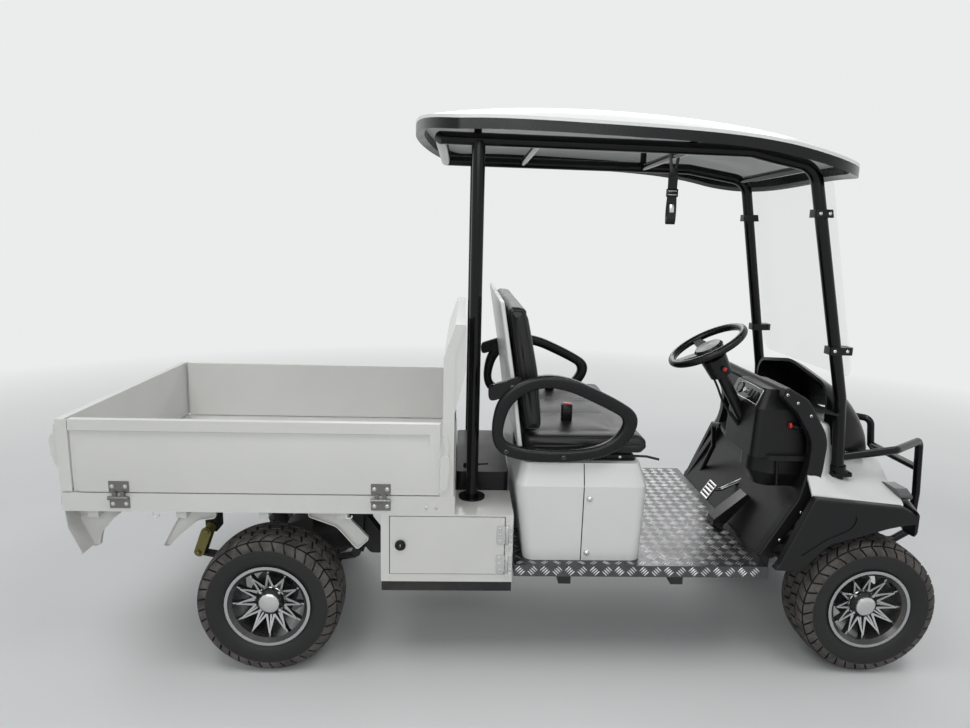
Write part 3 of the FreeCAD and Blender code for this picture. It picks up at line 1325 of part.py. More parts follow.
def build():
    """All nodes by name, each a solid or a list of solids."""
    nodes = {}
    nodes["chassis_frame"] = chassis_frame()
    nodes["leaf_springs"] = leaf_springs() + spring_shackles()
    nodes["rear_axle"] = rear_axle()
    nodes["front_axle"] = front_axle()
    lug_tyre = tyre(V(0, 0, 0))
    for name, side in SIDES.items():
        nodes["knuckle_" + name] = knuckle(side)
        nodes["drop_side_" + name] = [drop_side(side)] + placed_hinges(False, name)
        nodes["locker_door_" + name] = locker_door(side)
        star_rim = rim(side)
        for end in AXLE_X:
            whole = lug_tyre.copy()
            whole.translate(wheel_centre(end, side, TRACK_OUT - TYRE_W / 2))
            nodes["tyre_" + end + "_" + name] = whole
            whole = star_rim.copy()
            whole.translate(wheel_centre(end, side, RIM_OUT - RIM_W / 2))
            nodes["rim_" + end + "_" + name] = whole
    nodes["tie_rod"] = tie_rod()
    nodes["battery_block"] = battery_block()
    nodes["lockers"] = [locker(side) for side in SIDES.values()]
    nodes["bed_frame"] = fuse([bed_frame()] + bed_brackets())
    nodes["bed_hinges"] = placed_hinges(True, "right") + placed_hinges(True, "left") + placed_hinges(True, "tail")
    nodes["headboard"] = headboard()
    nodes["tailgate"] = [tailgate()] + placed_hinges(False, "tail")
    nodes["floor_plate"] = floor_plate()
    nodes["seat_base"] = seat_base()
    nodes["rear_cover"] = rear_cover()
    nodes["seat_hardware"] = seat_rails() + belt_buckles()
    nodes["seat_cushion"] = seat_cushion()
    nodes["seat_back_pad"] = seat_back_pad()
    nodes["seat_back_shell"] = seat_back_shell()
    nodes["armrests"] = armrests()
    nodes["front_fender"] = front_fender()
    nodes["lamps"] = headlamps() + tail_lamps()
    nodes["driver_controls"] = dash_controls() + pedals()
    nodes["steering_column"] = steering_column()
    nodes["column_cable"] = column_cable()
    nodes["steering_wheel"] = steering_wheel()
    frame = roof_frame()
    nodes["roof_frame"] = frame
    nodes["roof_shell"], nodes["roof_edge"] = roof_pieces()
    pane, *clips = windshield()
    clips = [without(clip, [frame, pane]) for clip in clips]
    nodes["windshield"] = [pane] + [clip for near in clips for clip in both_sides(near)]
    nodes["hand_strap"] = hand_strap()
    nodes["brush_guard"] = without(brush_guard(), [frame, nodes["chassis_frame"]])
    nodes["dash"] = without(dash(), [nodes["steering_column"]] + nodes["driver_controls"])
    nodes["hood"] = without(hood(), [frame, nodes["front_fender"], nodes["dash"]] + nodes["lamps"])
    nodes["cowl"] = without(cowl(), [frame, nodes["hood"], nodes["dash"]])
    return nodes


def main():
    os.makedirs("parts", exist_ok=True)
    nodes = {name: found if isinstance(found, list) else [found] for name, found in build().items()}
    everything = Part.makeCompound([solid for found in nodes.values() for solid in found])
    bounds = everything.optimalBoundingBox(False, False)
    shift = V(-(bounds.XMin + bounds.XMax) / 2, 0, 0)
    for name, found in nodes.items():
        piece = found[0] if len(found) == 1 else Part.makeCompound(found)
        piece.translate(shift)
        piece.exportStep("parts/" + name + ".step")
    print("nodes", len(nodes), "shift", shift.x, "bounds", bounds)


main()
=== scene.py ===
import math

import bmesh
import bpy
import numpy as np
from mathutils import Matrix, Vector
from mathutils.kdtree import KDTree


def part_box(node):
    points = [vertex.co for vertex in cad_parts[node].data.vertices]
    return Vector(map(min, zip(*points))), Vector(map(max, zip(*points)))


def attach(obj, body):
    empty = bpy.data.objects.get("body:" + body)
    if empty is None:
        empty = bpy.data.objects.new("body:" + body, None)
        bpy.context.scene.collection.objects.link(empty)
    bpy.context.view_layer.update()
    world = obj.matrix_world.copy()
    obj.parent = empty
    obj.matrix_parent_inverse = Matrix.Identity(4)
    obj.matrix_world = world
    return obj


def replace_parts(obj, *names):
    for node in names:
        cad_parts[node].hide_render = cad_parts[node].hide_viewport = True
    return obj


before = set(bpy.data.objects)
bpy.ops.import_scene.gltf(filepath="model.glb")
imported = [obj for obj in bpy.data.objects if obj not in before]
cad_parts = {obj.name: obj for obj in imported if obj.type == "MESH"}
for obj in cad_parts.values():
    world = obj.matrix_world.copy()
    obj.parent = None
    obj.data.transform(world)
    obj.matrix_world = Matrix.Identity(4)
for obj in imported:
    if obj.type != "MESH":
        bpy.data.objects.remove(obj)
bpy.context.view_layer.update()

# The scene is in metres, in the frame of the solids: X forward, Y to the left, Z up.
# Shapes are given in millimetres, with X from midway between the axles.
SIDES = {"right": -1, "left": 1}
ENDS = ("front", "rear")
FORWARD = (1, 0, 0)
REARWARD = (-1, 0, 0)
LEFT = (0, 1, 0)
UPWARD = (0, 0, 1)
MID_X = np.mean([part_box("tyre_front_right"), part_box("tyre_rear_right")], axis=(0, 1))[0]


def place(points):
    """Points in millimetres from midway between the axles, as an array in the scene's metres."""
    return np.asarray(points, float) / 1000 + np.array([MID_X, 0, 0])


# Camera, floor and light

PHOTO_WIDTH = 970
CAMERA_AT = (-471, -3145, 1758)
CAMERA_TURN = (2.057, -10.485, 1.381)     # yaw, pitch and roll in degrees
FOCAL_PIXELS = 688.7
SENSOR = 36.0


def make_camera():
    """Camera at the photograph's place, from its yaw, pitch and roll."""
    yaw, pitch, roll = np.radians(CAMERA_TURN)
    ahead = np.array([math.sin(yaw) * math.cos(pitch), math.cos(yaw) * math.cos(pitch), math.sin(pitch)])
    right = np.array([math.cos(yaw), -math.sin(yaw), 0.0])
    up = np.cross(right, ahead)
    rolled = right * math.cos(roll) + up * math.sin(roll)
    axes = (rolled, up * math.cos(roll) - right * math.sin(roll), -ahead)
    data = bpy.data.cameras.new("camera")
    data.sensor_width = SENSOR
    data.lens = FOCAL_PIXELS / PHOTO_WIDTH * SENSOR
    data.clip_end = 100
    camera = bpy.data.objects.new("camera", data)
    matrix = Matrix(np.stack(axes, 1).tolist()).to_4x4()
    matrix.translation = Vector(place(CAMERA_AT))
    camera.matrix_world = matrix
    bpy.context.scene.collection.objects.link(camera)
    bpy.context.scene.camera = camera


LAMP_TARGET = (0, 0, 1.0)
LAMPS = {
    # place, size and power
    "overhead_front": ((2.2, -1.5, 5.2), (5.0, 1.2), 86),
    "overhead_rear": ((-2.4, -1.2, 5.2), (5.0, 1.2), 86),
    "camera_side": ((-1.0, -6.0, 3.6), (5.0, 2.0), 100),
    "far_side": ((0.8, 5.5, 4.0), (6.0, 1.5), 90),
}
HORIZON = (0.83, 0.84, 0.84, 1)           # pale colour that the camera sees behind the cart
SKY = {"Color": (0.95, 0.98, 1.0, 1), "Strength": 0.36}
FLOOR_NEAR, FLOOR_FAR = 3.2, 8.0          # metres from the cart over which the floor turns into the horizon
FLOOR_SIZE = 60


def area_light(name, at, size, power):
    """Soft rectangular lamp aimed at the cart."""
    data = bpy.data.lights.new(name, "AREA")
    data.shape = "RECTANGLE"
    data.size, data.size_y = size
    data.energy = power
    lamp = bpy.data.objects.new(name, data)
    lamp.location = at
    lamp.rotation_euler = (Vector(LAMP_TARGET) - Vector(at)).to_track_quat("-Z", "Y").to_euler()
    bpy.context.scene.collection.objects.link(lamp)


def seen_rays(tree):
    """1 for rays that show the background: from the camera, in gloss and through glass."""
    rays = node(tree, "ShaderNodeLightPath").outputs
    both = maths(tree, "MAXIMUM", rays["Is Camera Ray"], rays["Is Glossy Ray"])
    return maths(tree, "MAXIMUM", both, rays["Is Transmission Ray"])


def make_stage():
    """Pale floor that fades into a pale background, and soft lamps from above."""
    scene = bpy.context.scene
    scene.view_settings.view_transform = "Standard"
    bpy.ops.mesh.primitive_plane_add(size=FLOOR_SIZE, location=(0, 0, 0))
    floor = bpy.context.object
    floor.name = "floor"
    floor.data.materials.append(floor_finish())
    scene.world = bpy.data.worlds.new("studio")
    scene.world.use_nodes = True
    tree = scene.world.node_tree
    tree.nodes.clear()
    seen = node(tree, "ShaderNodeBackground", {"Color": HORIZON, "Strength": 1.0})
    light = node(tree, "ShaderNodeBackground", SKY)
    mix = node(tree, "ShaderNodeMixShader", {0: seen_rays(tree), 1: light.outputs[0], 2: seen.outputs[0]})
    node(tree, "ShaderNodeOutputWorld", {"Surface": mix.outputs[0]})
    for name, (at, size, power) in LAMPS.items():
        area_light(name, at, size, power)


# Shader nodes

def node(tree, kind, inputs=None, **settings):
    """Node with its properties set, and its inputs set to values or joined to other nodes' sockets."""
    made = tree.nodes.new(kind)
    for key, value in settings.items():
        setattr(made, key, value)
    for key, value in (inputs or {}).items():
        if isinstance(value, bpy.types.NodeSocket):
            tree.links.new(value, made.inputs[key])
        else:
            made.inputs[key].default_value = value
    return made


def maths(tree, operation, a, b=None, clamp=False):
    """Math node whose terms are sockets or numbers."""
    terms = {0: a} if b is None else {0: a, 1: b}
    return node(tree, "ShaderNodeMath", terms, operation=operation, use_clamp=clamp).outputs[0]


def times(tree, a, b, clamp=False):
    """Product of two sockets or numbers."""
    return maths(tree, "MULTIPLY", a, b, clamp)


def ramp(tree, value, low, high, to_low=0.0, to_high=1.0):
    """Clamped straight-line remap of a value."""
    ends = {"Value": value, "From Min": low, "From Max": high, "To Min": to_low, "To Max": to_high}
    return node(tree, "ShaderNodeMapRange", ends).outputs["Result"]


def object_place(tree):
    """Place on the object, as a vector."""
    return node(tree, "ShaderNodeTexCoord").outputs["Object"]


def parts_of(tree, vector):
    """X, Y and Z of a vector, by name."""
    return node(tree, "ShaderNodeSeparateXYZ", {0: vector}).outputs


def noise(tree, scale, detail=3.0, rough=0.55):
    """Noise over the object."""
    values = {"Vector": object_place(tree), "Scale": scale, "Detail": detail, "Roughness": rough}
    return node(tree, "ShaderNodeTexNoise", values).outputs["Fac"]


def patches(tree, scale, detail, low, high, rough=0.55, least=0.0):
    """Noise stretched so that its values from low to high become least to 1."""
    return ramp(tree, noise(tree, scale, detail, rough), low, high, least)


def group(name, output, **inputs):
    """Shader group with one output: its tree, the sockets of its named inputs, and the socket to fill."""
    tree = bpy.data.node_groups.new(name, "ShaderNodeTree")
    for label, value in inputs.items():
        socket = tree.interface.new_socket(name=label, in_out="INPUT", socket_type="NodeSocketFloat")
        socket.default_value = value
    tree.interface.new_socket(name=output, in_out="OUTPUT", socket_type="NodeSocketFloat")
    return tree, tree.nodes.new("NodeGroupInput").outputs, tree.nodes.new("NodeGroupOutput").inputs[0]


def grime_group():
    """Dust: more of it near the floor and on faces that look up, broken by two noises."""
    tree, given, out = group("settled_dust", "Mask", Amount=0.3, Reach=0.9, Upward=0.4)
    height = maths(tree, "DIVIDE", parts_of(tree, object_place(tree))["Z"], given["Reach"])
    low = maths(tree, "SUBTRACT", 1.0, height, clamp=True)
    normal = node(tree, "ShaderNodeNewGeometry").outputs["Normal"]
    up = maths(tree, "MAXIMUM", parts_of(tree, normal)["Z"], 0.0)
    both = maths(tree, "ADD", low, times(tree, up, given["Upward"]))
    broad = patches(tree, 3.1, 4.0, 0.3, 0.75)
    fine = patches(tree, 46.0, 4.0, 0.25, 0.8, rough=0.7, least=0.45)
    mask = times(tree, times(tree, both, broad), fine)
    tree.links.new(times(tree, mask, given["Amount"], clamp=True), out)
    return tree


def smudge_group():
    """Uneven gloss: a slow noise and a finer one, as a value about the base."""
    tree, given, out = group("uneven_gloss", "Value", Base=0.3, Spread=0.12, Scale=6.0)
    slow = maths(tree, "SUBTRACT", noise(tree, given["Scale"], 4.0), 0.5)
    quick = maths(tree, "SUBTRACT", noise(tree, 85.0, 2.0), 0.5)
    both = maths(tree, "ADD", times(tree, slow, 1.6), times(tree, quick, 0.7))
    value = maths(tree, "ADD", given["Base"], times(tree, both, given["Spread"]))
    tree.links.new(maths(tree, "MAXIMUM", value, 0.02), out)
    return tree


def grain_group():
    """Moulded grain: the distance to the nearest of many scattered points, softened by noise."""
    tree, given, out = group("moulded_grain", "Height", Scale=700.0)
    cells = node(tree, "ShaderNodeTexVoronoi", {"Vector": object_place(tree), "Scale": given["Scale"]},
                 feature="SMOOTH_F1")
    soft = noise(tree, times(tree, given["Scale"], 0.45), 2.0)
    tree.links.new(maths(tree, "ADD", cells.outputs["Distance"], times(tree, soft, 0.6)), out)
    return tree


def ripple_group():
    """Spray-paint ripple: a very shallow noise."""
    tree, given, out = group("paint_ripple", "Height", Scale=55.0)
    tree.links.new(noise(tree, given["Scale"], 2.0, 0.4), out)
    return tree


def weave_group():
    """Plain weave: two crossed sets of threads that pass over each other in turn."""
    tree, given, out = group("plain_weave", "Height", Scale=2200.0)
    at = parts_of(tree, object_place(tree))
    threads = []
    for first, second in (("Z", "X"), ("X", "Z")):
        across = maths(tree, "SINE", times(tree, at[first], given["Scale"]))
        along = maths(tree, "COSINE", times(tree, at[second], given["Scale"]))
        threads.append(times(tree, across, along))
    tree.links.new(maths(tree, "MAXIMUM", *threads), out)
    return tree


GROUPS = {}


def placed_group(tree, maker, **values):
    """Output of a shared group that is put into a material with its own values."""
    if maker not in GROUPS:
        GROUPS[maker] = maker()
    return node(tree, "ShaderNodeGroup", values, node_tree=GROUPS[maker]).outputs[0]


# Finishes

DUST = (0.42, 0.40, 0.36, 1.0)
DARK_DUST = (0.16, 0.15, 0.14, 1)


def principled(name, **values):
    """Material with one Principled BSDF whose sockets take the given values."""
    made = bpy.data.materials.new(name)
    made.use_nodes = True
    tree = made.node_tree
    tree.nodes.clear()
    shader = node(tree, "ShaderNodeBsdfPrincipled", values)
    node(tree, "ShaderNodeOutputMaterial", {"Surface": shader.outputs[0]})
    return made, tree, shader


def mixed(tree, mask, a, b):
    """Colour a where the mask is 0, b where it is 1; either may be a socket."""
    return node(tree, "ShaderNodeMix", {0: mask, 6: a, 7: b}, data_type="RGBA").outputs[2]


def toned(tree, mask, colour, low, high):
    """Colour times low where the mask is 0, times high where it is 1."""
    shades = [(*(min(1.0, c * factor) for c in colour[:3]), 1.0) for factor in (low, high)]
    return mixed(tree, mask, *shades)


def colour_in(tree, shader, base, dust=None, dirt=DUST):
    """Base colour, with settled dust over it where an amount is given; gives the dust's mask."""
    mask = None
    if dust is not None:
        mask = placed_group(tree, grime_group, Amount=dust)
        base = mixed(tree, mask, base, dirt)
    tree.links.new(base, shader.inputs["Base Color"])
    return mask


def roughen(tree, shader, more=None, **values):
    """Uneven gloss, with more roughness added where that is given."""
    rough = placed_group(tree, smudge_group, **values)
    if more is not None:
        rough = maths(tree, "ADD", rough, more)
    tree.links.new(rough, shader.inputs["Roughness"])


def bump(tree, shader, height, strength, distance):
    """Relief from a height."""
    made = node(tree, "ShaderNodeBump", {"Height": height, "Strength": strength, "Distance": distance})
    tree.links.new(made.outputs[0], shader.inputs["Normal"])


def paint_finish(name, colour, gloss, coat=0.4, dust=0.25, metallic=0.0, ripple=0.05, specular=0.5):
    """Sprayed paint: slight tone shift, ripple, uneven gloss, dust low down."""
    made, tree, shader = principled(name, Metallic=metallic, **{
        "Coat Weight": coat, "Coat Roughness": 0.08, "Specular IOR Level": specular})
    base = toned(tree, patches(tree, 1.7, 3.0, 0.3, 0.7), colour, 0.95, 1.03)
    mask = colour_in(tree, shader, base, dust)
    roughen(tree, shader, times(tree, mask, 0.5), Base=gloss, Spread=0.10)
    bump(tree, shader, placed_group(tree, ripple_group), ripple, 0.002)
    return made


def plastic_finish(name, colour, gloss, grain=620.0, depth=0.25, dust=0.3, specular=0.4):
    """Moulded plastic: fine grain, faint tone shift, dust low down."""
    made, tree, shader = principled(name, **{"Specular IOR Level": specular})
    base = toned(tree, patches(tree, 5.0, 4.0, 0.3, 0.7), colour, 0.88, 1.12)
    colour_in(tree, shader, base, dust)
    roughen(tree, shader, Base=gloss, Spread=0.14)
    bump(tree, shader, placed_group(tree, grain_group, Scale=grain), depth, 0.0008)
    return made


def floor_finish():
    """Pale floor: lit near the cart, and the horizon's own colour far from it."""
    made, tree, shader = principled("pale_floor", Roughness=0.5)
    tone = patches(tree, 0.6, 3.0, 0.3, 0.7)
    colour_in(tree, shader, mixed(tree, tone, (0.66, 0.67, 0.67, 1), (0.70, 0.71, 0.71, 1)))
    reach = node(tree, "ShaderNodeVectorMath", {0: object_place(tree)}, operation="LENGTH")
    far = ramp(tree, reach.outputs["Value"], FLOOR_NEAR, FLOOR_FAR)
    glow = node(tree, "ShaderNodeEmission", {"Color": HORIZON, "Strength": 1.0})
    mix = node(tree, "ShaderNodeMixShader",
               {0: times(tree, far, seen_rays(tree)), 1: shader.outputs[0], 2: glow.outputs[0]})
    out = next(item for item in tree.nodes if item.type == "OUTPUT_MATERIAL")
    tree.links.new(mix.outputs[0], out.inputs["Surface"])
    return made


def glass_finish():
    """Clear pane with faint smudges."""
    made, tree, shader = principled("clear_pane", **{"Base Color": (0.90, 0.95, 0.94, 1), "IOR": 1.45,
                                                     "Alpha": 0.07, "Specular IOR Level": 0.4})
    roughen(tree, shader, Base=0.04, Spread=0.08, Scale=4.0)
    return made


def webbing_finish(name, colour):
    """Woven strap: painted shade between its threads and painted highlights on their crowns."""
    made, tree, shader = principled(name, Roughness=0.72, **{"Sheen Weight": 0.3})
    weave = placed_group(tree, weave_group)
    # Colour follows the weave's height: painted shade between the threads, painted highlight on their crowns.
    colour_in(tree, shader, toned(tree, ramp(tree, weave, -0.5, 1.0), colour, 0.6, 1.5))
    bump(tree, shader, weave, 0.5, 0.0006)
    return made


MACHINED_Y = 0.548                    # nearer to the centre plane than this, the rim's faces are black


def rim_finish(name, bright, dark):
    """Alloy wheel: faces that look outwards near its rim are machined metal; the rest is black."""
    made, tree, shader = principled(name, **{"Coat Weight": 0.2, "Coat Roughness": 0.12})
    facing = parts_of(tree, node(tree, "ShaderNodeTexCoord").outputs["Normal"])
    outward = ramp(tree, maths(tree, "ABSOLUTE", facing["Y"]), 0.80, 0.90)
    depth = maths(tree, "ABSOLUTE", parts_of(tree, object_place(tree))["Y"])
    machined = times(tree, outward, maths(tree, "GREATER_THAN", depth, MACHINED_Y))
    metal = toned(tree, patches(tree, 14.0, 3.0, 0.3, 0.7), bright, 0.9, 1.05)
    colour_in(tree, shader, mixed(tree, machined, dark, metal), 0.25)
    tree.links.new(machined, shader.inputs["Metallic"])
    roughen(tree, shader, Base=0.26, Spread=0.12)
    return made


def tread_plate_finish(name, colour):
    """Rolled aluminium: scuffed in patches and finely scratched."""
    made, tree, shader = principled(name, Metallic=1.0)
    scuff = patches(tree, 7.0, 6.0, 0.3, 0.75, rough=0.7)
    colour_in(tree, shader, toned(tree, scuff, colour, 0.75, 1.15), 0.2, DARK_DUST)
    roughen(tree, shader, Base=0.30, Spread=0.2, Scale=12.0)
    bump(tree, shader, patches(tree, 240.0, 2.0, 0.4, 0.6), 0.12, 0.0006)
    return made


def rubber_finish(name, colour, dusty):
    """Tyre rubber: black in the grooves and on the sidewall, with dry dust on the faces of the blocks."""
    made, tree, shader = principled(name, **{"Specular IOR Level": 0.35})
    relief = node(tree, "ShaderNodeAttribute", attribute_name="relief").outputs["Fac"]
    worn = patches(tree, 16.0, 4.0, 0.35, 0.7, rough=0.65, least=0.15)
    face = times(tree, ramp(tree, relief, 0.6, 0.95), worn)
    base = toned(tree, patches(tree, 420.0, 2.0, 0.3, 0.8), colour, 0.8, 1.3)
    colour_in(tree, shader, mixed(tree, face, base, dusty))
    roughen(tree, shader, times(tree, face, 0.25), Base=0.56, Spread=0.15)
    bump(tree, shader, placed_group(tree, grain_group, Scale=420.0), 0.2, 0.0008)
    return made


def lens_finish(name, colour, ribs):
    """Moulded lens with upright ribs below its gloss; its colour goes lighter and darker across each rib as
    painted light and shade.
    """
    made, tree, shader = principled(name, **{"Roughness": 0.08, "Coat Weight": 1.0, "Coat Roughness": 0.02})
    wave = maths(tree, "SINE", times(tree, parts_of(tree, object_place(tree))["Y"], ribs))
    # Colour follows the ribs: painted light and shade across each rib.
    colour_in(tree, shader, toned(tree, ramp(tree, wave, -1.0, 1.0), colour, 0.7, 1.15))
    bump(tree, shader, wave, 0.4, 0.001)
    return made


def finishes():
    """Every finish by name."""
    made = [
        paint_finish("white_paint", (0.66, 0.66, 0.64), 0.32, dust=0.22),
        paint_finish("white_shell", (0.70, 0.71, 0.70), 0.34, coat=0.15, ripple=0.03, dust=0.16),
        paint_finish("tube_black", (0.004, 0.004, 0.005), 0.17, coat=0.0, dust=0.0, specular=0.25),
        paint_finish("frame_black", (0.010, 0.010, 0.011), 0.45, coat=0.0, dust=0.14, specular=0.35),
        paint_finish("gloss_black", (0.006, 0.006, 0.007), 0.08, coat=0.6, dust=0.0),
        paint_finish("signal_red", (0.55, 0.012, 0.02), 0.25, dust=0.0),
        paint_finish("zinc", (0.20, 0.20, 0.185), 0.30, metallic=0.9, coat=0.0),
        paint_finish("bright_zinc", (0.60, 0.60, 0.60), 0.22, metallic=1.0, coat=0.0, dust=0.0),
        paint_finish("olive_zinc", (0.16, 0.14, 0.04), 0.35, metallic=0.7, coat=0.0),
        plastic_finish("grained_black", (0.008, 0.008, 0.009), 0.36, dust=0.02, specular=0.28),
        plastic_finish("smooth_black", (0.006, 0.006, 0.007), 0.27, 300.0, 0.05, dust=0.0, specular=0.28),
        plastic_finish("leathercloth", (0.009, 0.009, 0.010), 0.40, 520.0, 0.4, dust=0.0, specular=0.38),
        rubber_finish("tyre_rubber", (0.014, 0.014, 0.0145), (0.12, 0.108, 0.10, 1.0)),
        webbing_finish("webbing", (0.018, 0.018, 0.019)),
        rim_finish("alloy", (0.47, 0.48, 0.49), (0.012, 0.012, 0.013, 1)),
        tread_plate_finish("tread_metal", (0.11, 0.11, 0.115)),
        # The bars' finish is a much lighter copy of the plate's metal: painted highlights on the bars.
        tread_plate_finish("tread_bar_metal", (0.80, 0.80, 0.80)),
        lens_finish("lamp_lens", (0.55, 0.57, 0.60), 900.0),
        lens_finish("dark_lens", (0.025, 0.026, 0.028), 900.0),
        lens_finish("tail_red", (0.42, 0.008, 0.012), 1100.0),
        glass_finish(),
    ]
    return {material.name.partition(".")[0]: material for material in made}


NODE_FINISH = {
    "frame_black": ["chassis_frame", "leaf_springs", "rear_axle", "front_axle", "knuckle_right",
                    "knuckle_left", "tie_rod"],
    "white_paint": ["lockers", "locker_door_right", "locker_door_left", "bed_frame", "headboard",
                    "drop_side_right", "drop_side_left", "tailgate"],
    "white_shell": ["seat_base", "seat_back_shell", "hood", "roof_shell"],
    "zinc": ["bed_hinges"],
    "tread_metal": ["floor_plate"],
    "grained_black": ["rear_cover", "front_fender", "dash"],
    "smooth_black": ["battery_block", "armrests", "cowl", "steering_column", "steering_wheel", "roof_edge",
                     "driver_controls", "seat_hardware", "lamps", "windshield", "column_cable"],
    "tube_black": ["brush_guard", "roof_frame"],
    "leathercloth": ["seat_cushion", "seat_back_pad"],
    "webbing": ["hand_strap"],
    "tyre_rubber": ["tyre_%s_%s" % (end, side) for end in ENDS for side in SIDES],
    "alloy": ["rim_%s_%s" % (end, side) for end in ENDS for side in SIDES],
}


def dress_nodes():
    """Gives each solid its finish."""
    for finish, names in NODE_FINISH.items():
        for name in names:
            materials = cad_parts[name].data.materials
            materials.clear()
            materials.append(FINISH[finish])


# Surfaces: every shape is a grid of points in millimetres, (rows, columns, 3), open or closed each way

def grid_faces(rows, columns, close_rows, close_columns):
    """Faces (i, j), (i, j+1), (i+1, j+1), (i+1, j) of a grid, with wrapped numbers where it closes."""
    i = np.arange(rows if close_rows else rows - 1)
    j = np.arange(columns if close_columns else columns - 1)
    i, j = np.meshgrid(i, j, indexing="ij")
    far_i, far_j = (i + 1) % rows, (j + 1) % columns
    corners = [i * columns + j, i * columns + far_j, far_i * columns + far_j, far_i * columns + j]
    return np.stack(corners, -1).reshape(-1, 4)


def mesh_of(name, shapes):
    """One mesh from several grids, each (points, rows closed, columns closed), with poles and seams merged.

    Points may also be a stack of grids of one size, (grids, rows, columns, 3).
    """
    points, faces, first = [], [], 0
    for grid, close_rows, close_columns in shapes:
        rows, columns = grid.shape[-3:-1]
        grids = grid.size // (3 * rows * columns)
        points.append(grid.reshape(-1, 3))
        one = grid_faces(rows, columns, close_rows, close_columns)
        starts = first + np.arange(grids)[:, None, None] * rows * columns
        faces.append((one[None] + starts).reshape(-1, 4))
        first += grids * rows * columns
    mesh = bpy.data.meshes.new(name)
    mesh.from_pydata(place(np.concatenate(points)), [], np.concatenate(faces))
    work = bmesh.new()
    work.from_mesh(mesh)
    bmesh.ops.remove_doubles(work, verts=work.verts, dist=2e-6)
    bmesh.ops.recalc_face_normals(work, faces=work.faces)
    work.to_mesh(mesh)
    work.free()
    return mesh


def add_piece(name, shapes, finish, body="chassis", crease=38):
    """Object of grids or of a mesh, smooth but for edges sharper than the crease, in its finish's slot."""
    mesh = shapes if isinstance(shapes, bpy.types.Mesh) else mesh_of(name, shapes)
    mesh.polygons.foreach_set("use_smooth", np.ones(len(mesh.polygons), bool))
    mesh.set_sharp_from_angle(angle=math.radians(crease))
    mesh.materials.append(FINISH[finish])
    piece = bpy.data.objects.new(name, mesh)
    bpy.context.scene.collection.objects.link(piece)
    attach(piece, body)
    return piece


def on_side(shapes, sign):
    """Grids made for the left side (sign 1), or their mirror images for the right side (sign -1)."""
    return [(grid * (1, sign, 1), *closed) for grid, *closed in shapes]


def both_sides(shapes):
    """Grids made for the left side, and their mirror images."""
    return on_side(shapes, -1) + on_side(shapes, 1)


def unit(vectors):
    """Vectors scaled to length 1."""
    vectors = np.asarray(vectors, float)
    return vectors / np.maximum(np.linalg.norm(vectors, axis=-1, keepdims=True), 1e-9)


def square_to(axis):
    """Two unit vectors square to an axis and to each other."""
    axis = unit(axis)
    other = np.array([0, 0, 1.0]) if abs(axis[2]) < 0.9 else np.array([1.0, 0, 0])
    first = unit(np.cross(other, axis))
    return first, np.cross(axis, first)


def turned(profile, centre, axis, count=32):
    """Profile of (distance a along the axis, radius r): centre + a axis + r (cos t first + sin t second)."""
    profile = np.asarray(profile, float)
    first, second = square_to(axis)
    t = np.linspace(0, 2 * np.pi, count, endpoint=False)
    round_ = np.cos(t)[:, None] * first + np.sin(t)[:, None] * second
    points = np.asarray(centre, float) + profile[:, :1, None] * unit(axis) + profile[:, 1:, None] * round_
    return points, False, True


def spline(points, count):
    """Smooth path through a few points: each stretch blends the points before, at and after it."""
    p = np.asarray(points, float)
    p = np.concatenate([2 * p[:1] - p[1:2], p, 2 * p[-1:] - p[-2:-1]])
    stretches = len(p) - 3
    u = np.linspace(0, stretches, count)
    i = np.minimum(u.astype(int), stretches - 1)
    t = (u - i)[:, None]
    a, b, c, d = p[i], p[i + 1], p[i + 2], p[i + 3]
    bent = (2 * a - 5 * b + 4 * c - d) * t ** 2 + (3 * b - a - 3 * c + d) * t ** 3
    return 0.5 * (2 * b + (c - a) * t + bent)


def arc_points(start, corner, end, t):
    """Arcs round corners: (1 - t)^2 start + 2 t (1 - t) corner + t^2 end, one after the other."""
    t = t[None, :, None]
    arcs = (1 - t) ** 2 * start[:, None] + 2 * t * (1 - t) * corner[:, None] + t ** 2 * end[:, None]
    return arcs.reshape(-1, 2)


def swept(path, outline, up=UPWARD, closed=False, widths=None):
    """Outline of (across, upwards) carried along a path: path + width (across side + upwards top)."""
    path = np.asarray(path, float)
    if closed:
        ahead = unit(np.roll(path, -1, 0) - np.roll(path, 1, 0))
    else:
        ahead = unit(np.gradient(path, axis=0))
    side = unit(np.cross(ahead, np.broadcast_to(np.asarray(up, float), path.shape)))
    top = np.cross(side, ahead)
    grow = np.ones(len(path)) if widths is None else np.asarray(widths, float)
    across = outline[None, :, :1] * side[:, None, :] + outline[None, :, 1:] * top[:, None, :]
    points = path[:, None, :] + across * grow[:, None, None]
    if not closed:
        first, last = (np.repeat(path[k][None, None, :], len(outline), 1) for k in (0, -1))
        points = np.concatenate([first, points, last])
    return points, closed, True


def circle(radius, count=12):
    """Outline of a circle."""
    t = np.linspace(0, 2 * np.pi, count, endpoint=False)
    return np.stack([radius * np.cos(t), radius * np.sin(t)], -1)


def rounded_outline(width, height, radius, steps=4):
    """Outline of a rectangle whose corners are quarter circles."""
    parts = []
    for k, (sx, sy) in enumerate(((1, 1), (-1, 1), (-1, -1), (1, -1))):
        t = np.linspace(k * np.pi / 2, (k + 1) * np.pi / 2, steps + 1)
        parts.append(np.stack([sx * (width / 2 - radius) + radius * np.cos(t),
                               sy * (height / 2 - radius) + radius * np.sin(t)], -1))
    return np.concatenate(parts)


def block(centre, size, radius, forward=FORWARD, up=UPWARD):
    """Bar with rounded long edges: its outline, size[1] by size[2], runs size[0] along forward."""
    middle = np.asarray(centre, float)
    reach = unit(forward) * size[0] / 2
    path = middle + np.outer(np.array([-1.0, -0.96, 0, 0.96, 1.0]), reach)
    return swept(path, rounded_outline(size[1], size[2], radius, 3), up, False, (0.94, 1, 1, 1, 0.94))


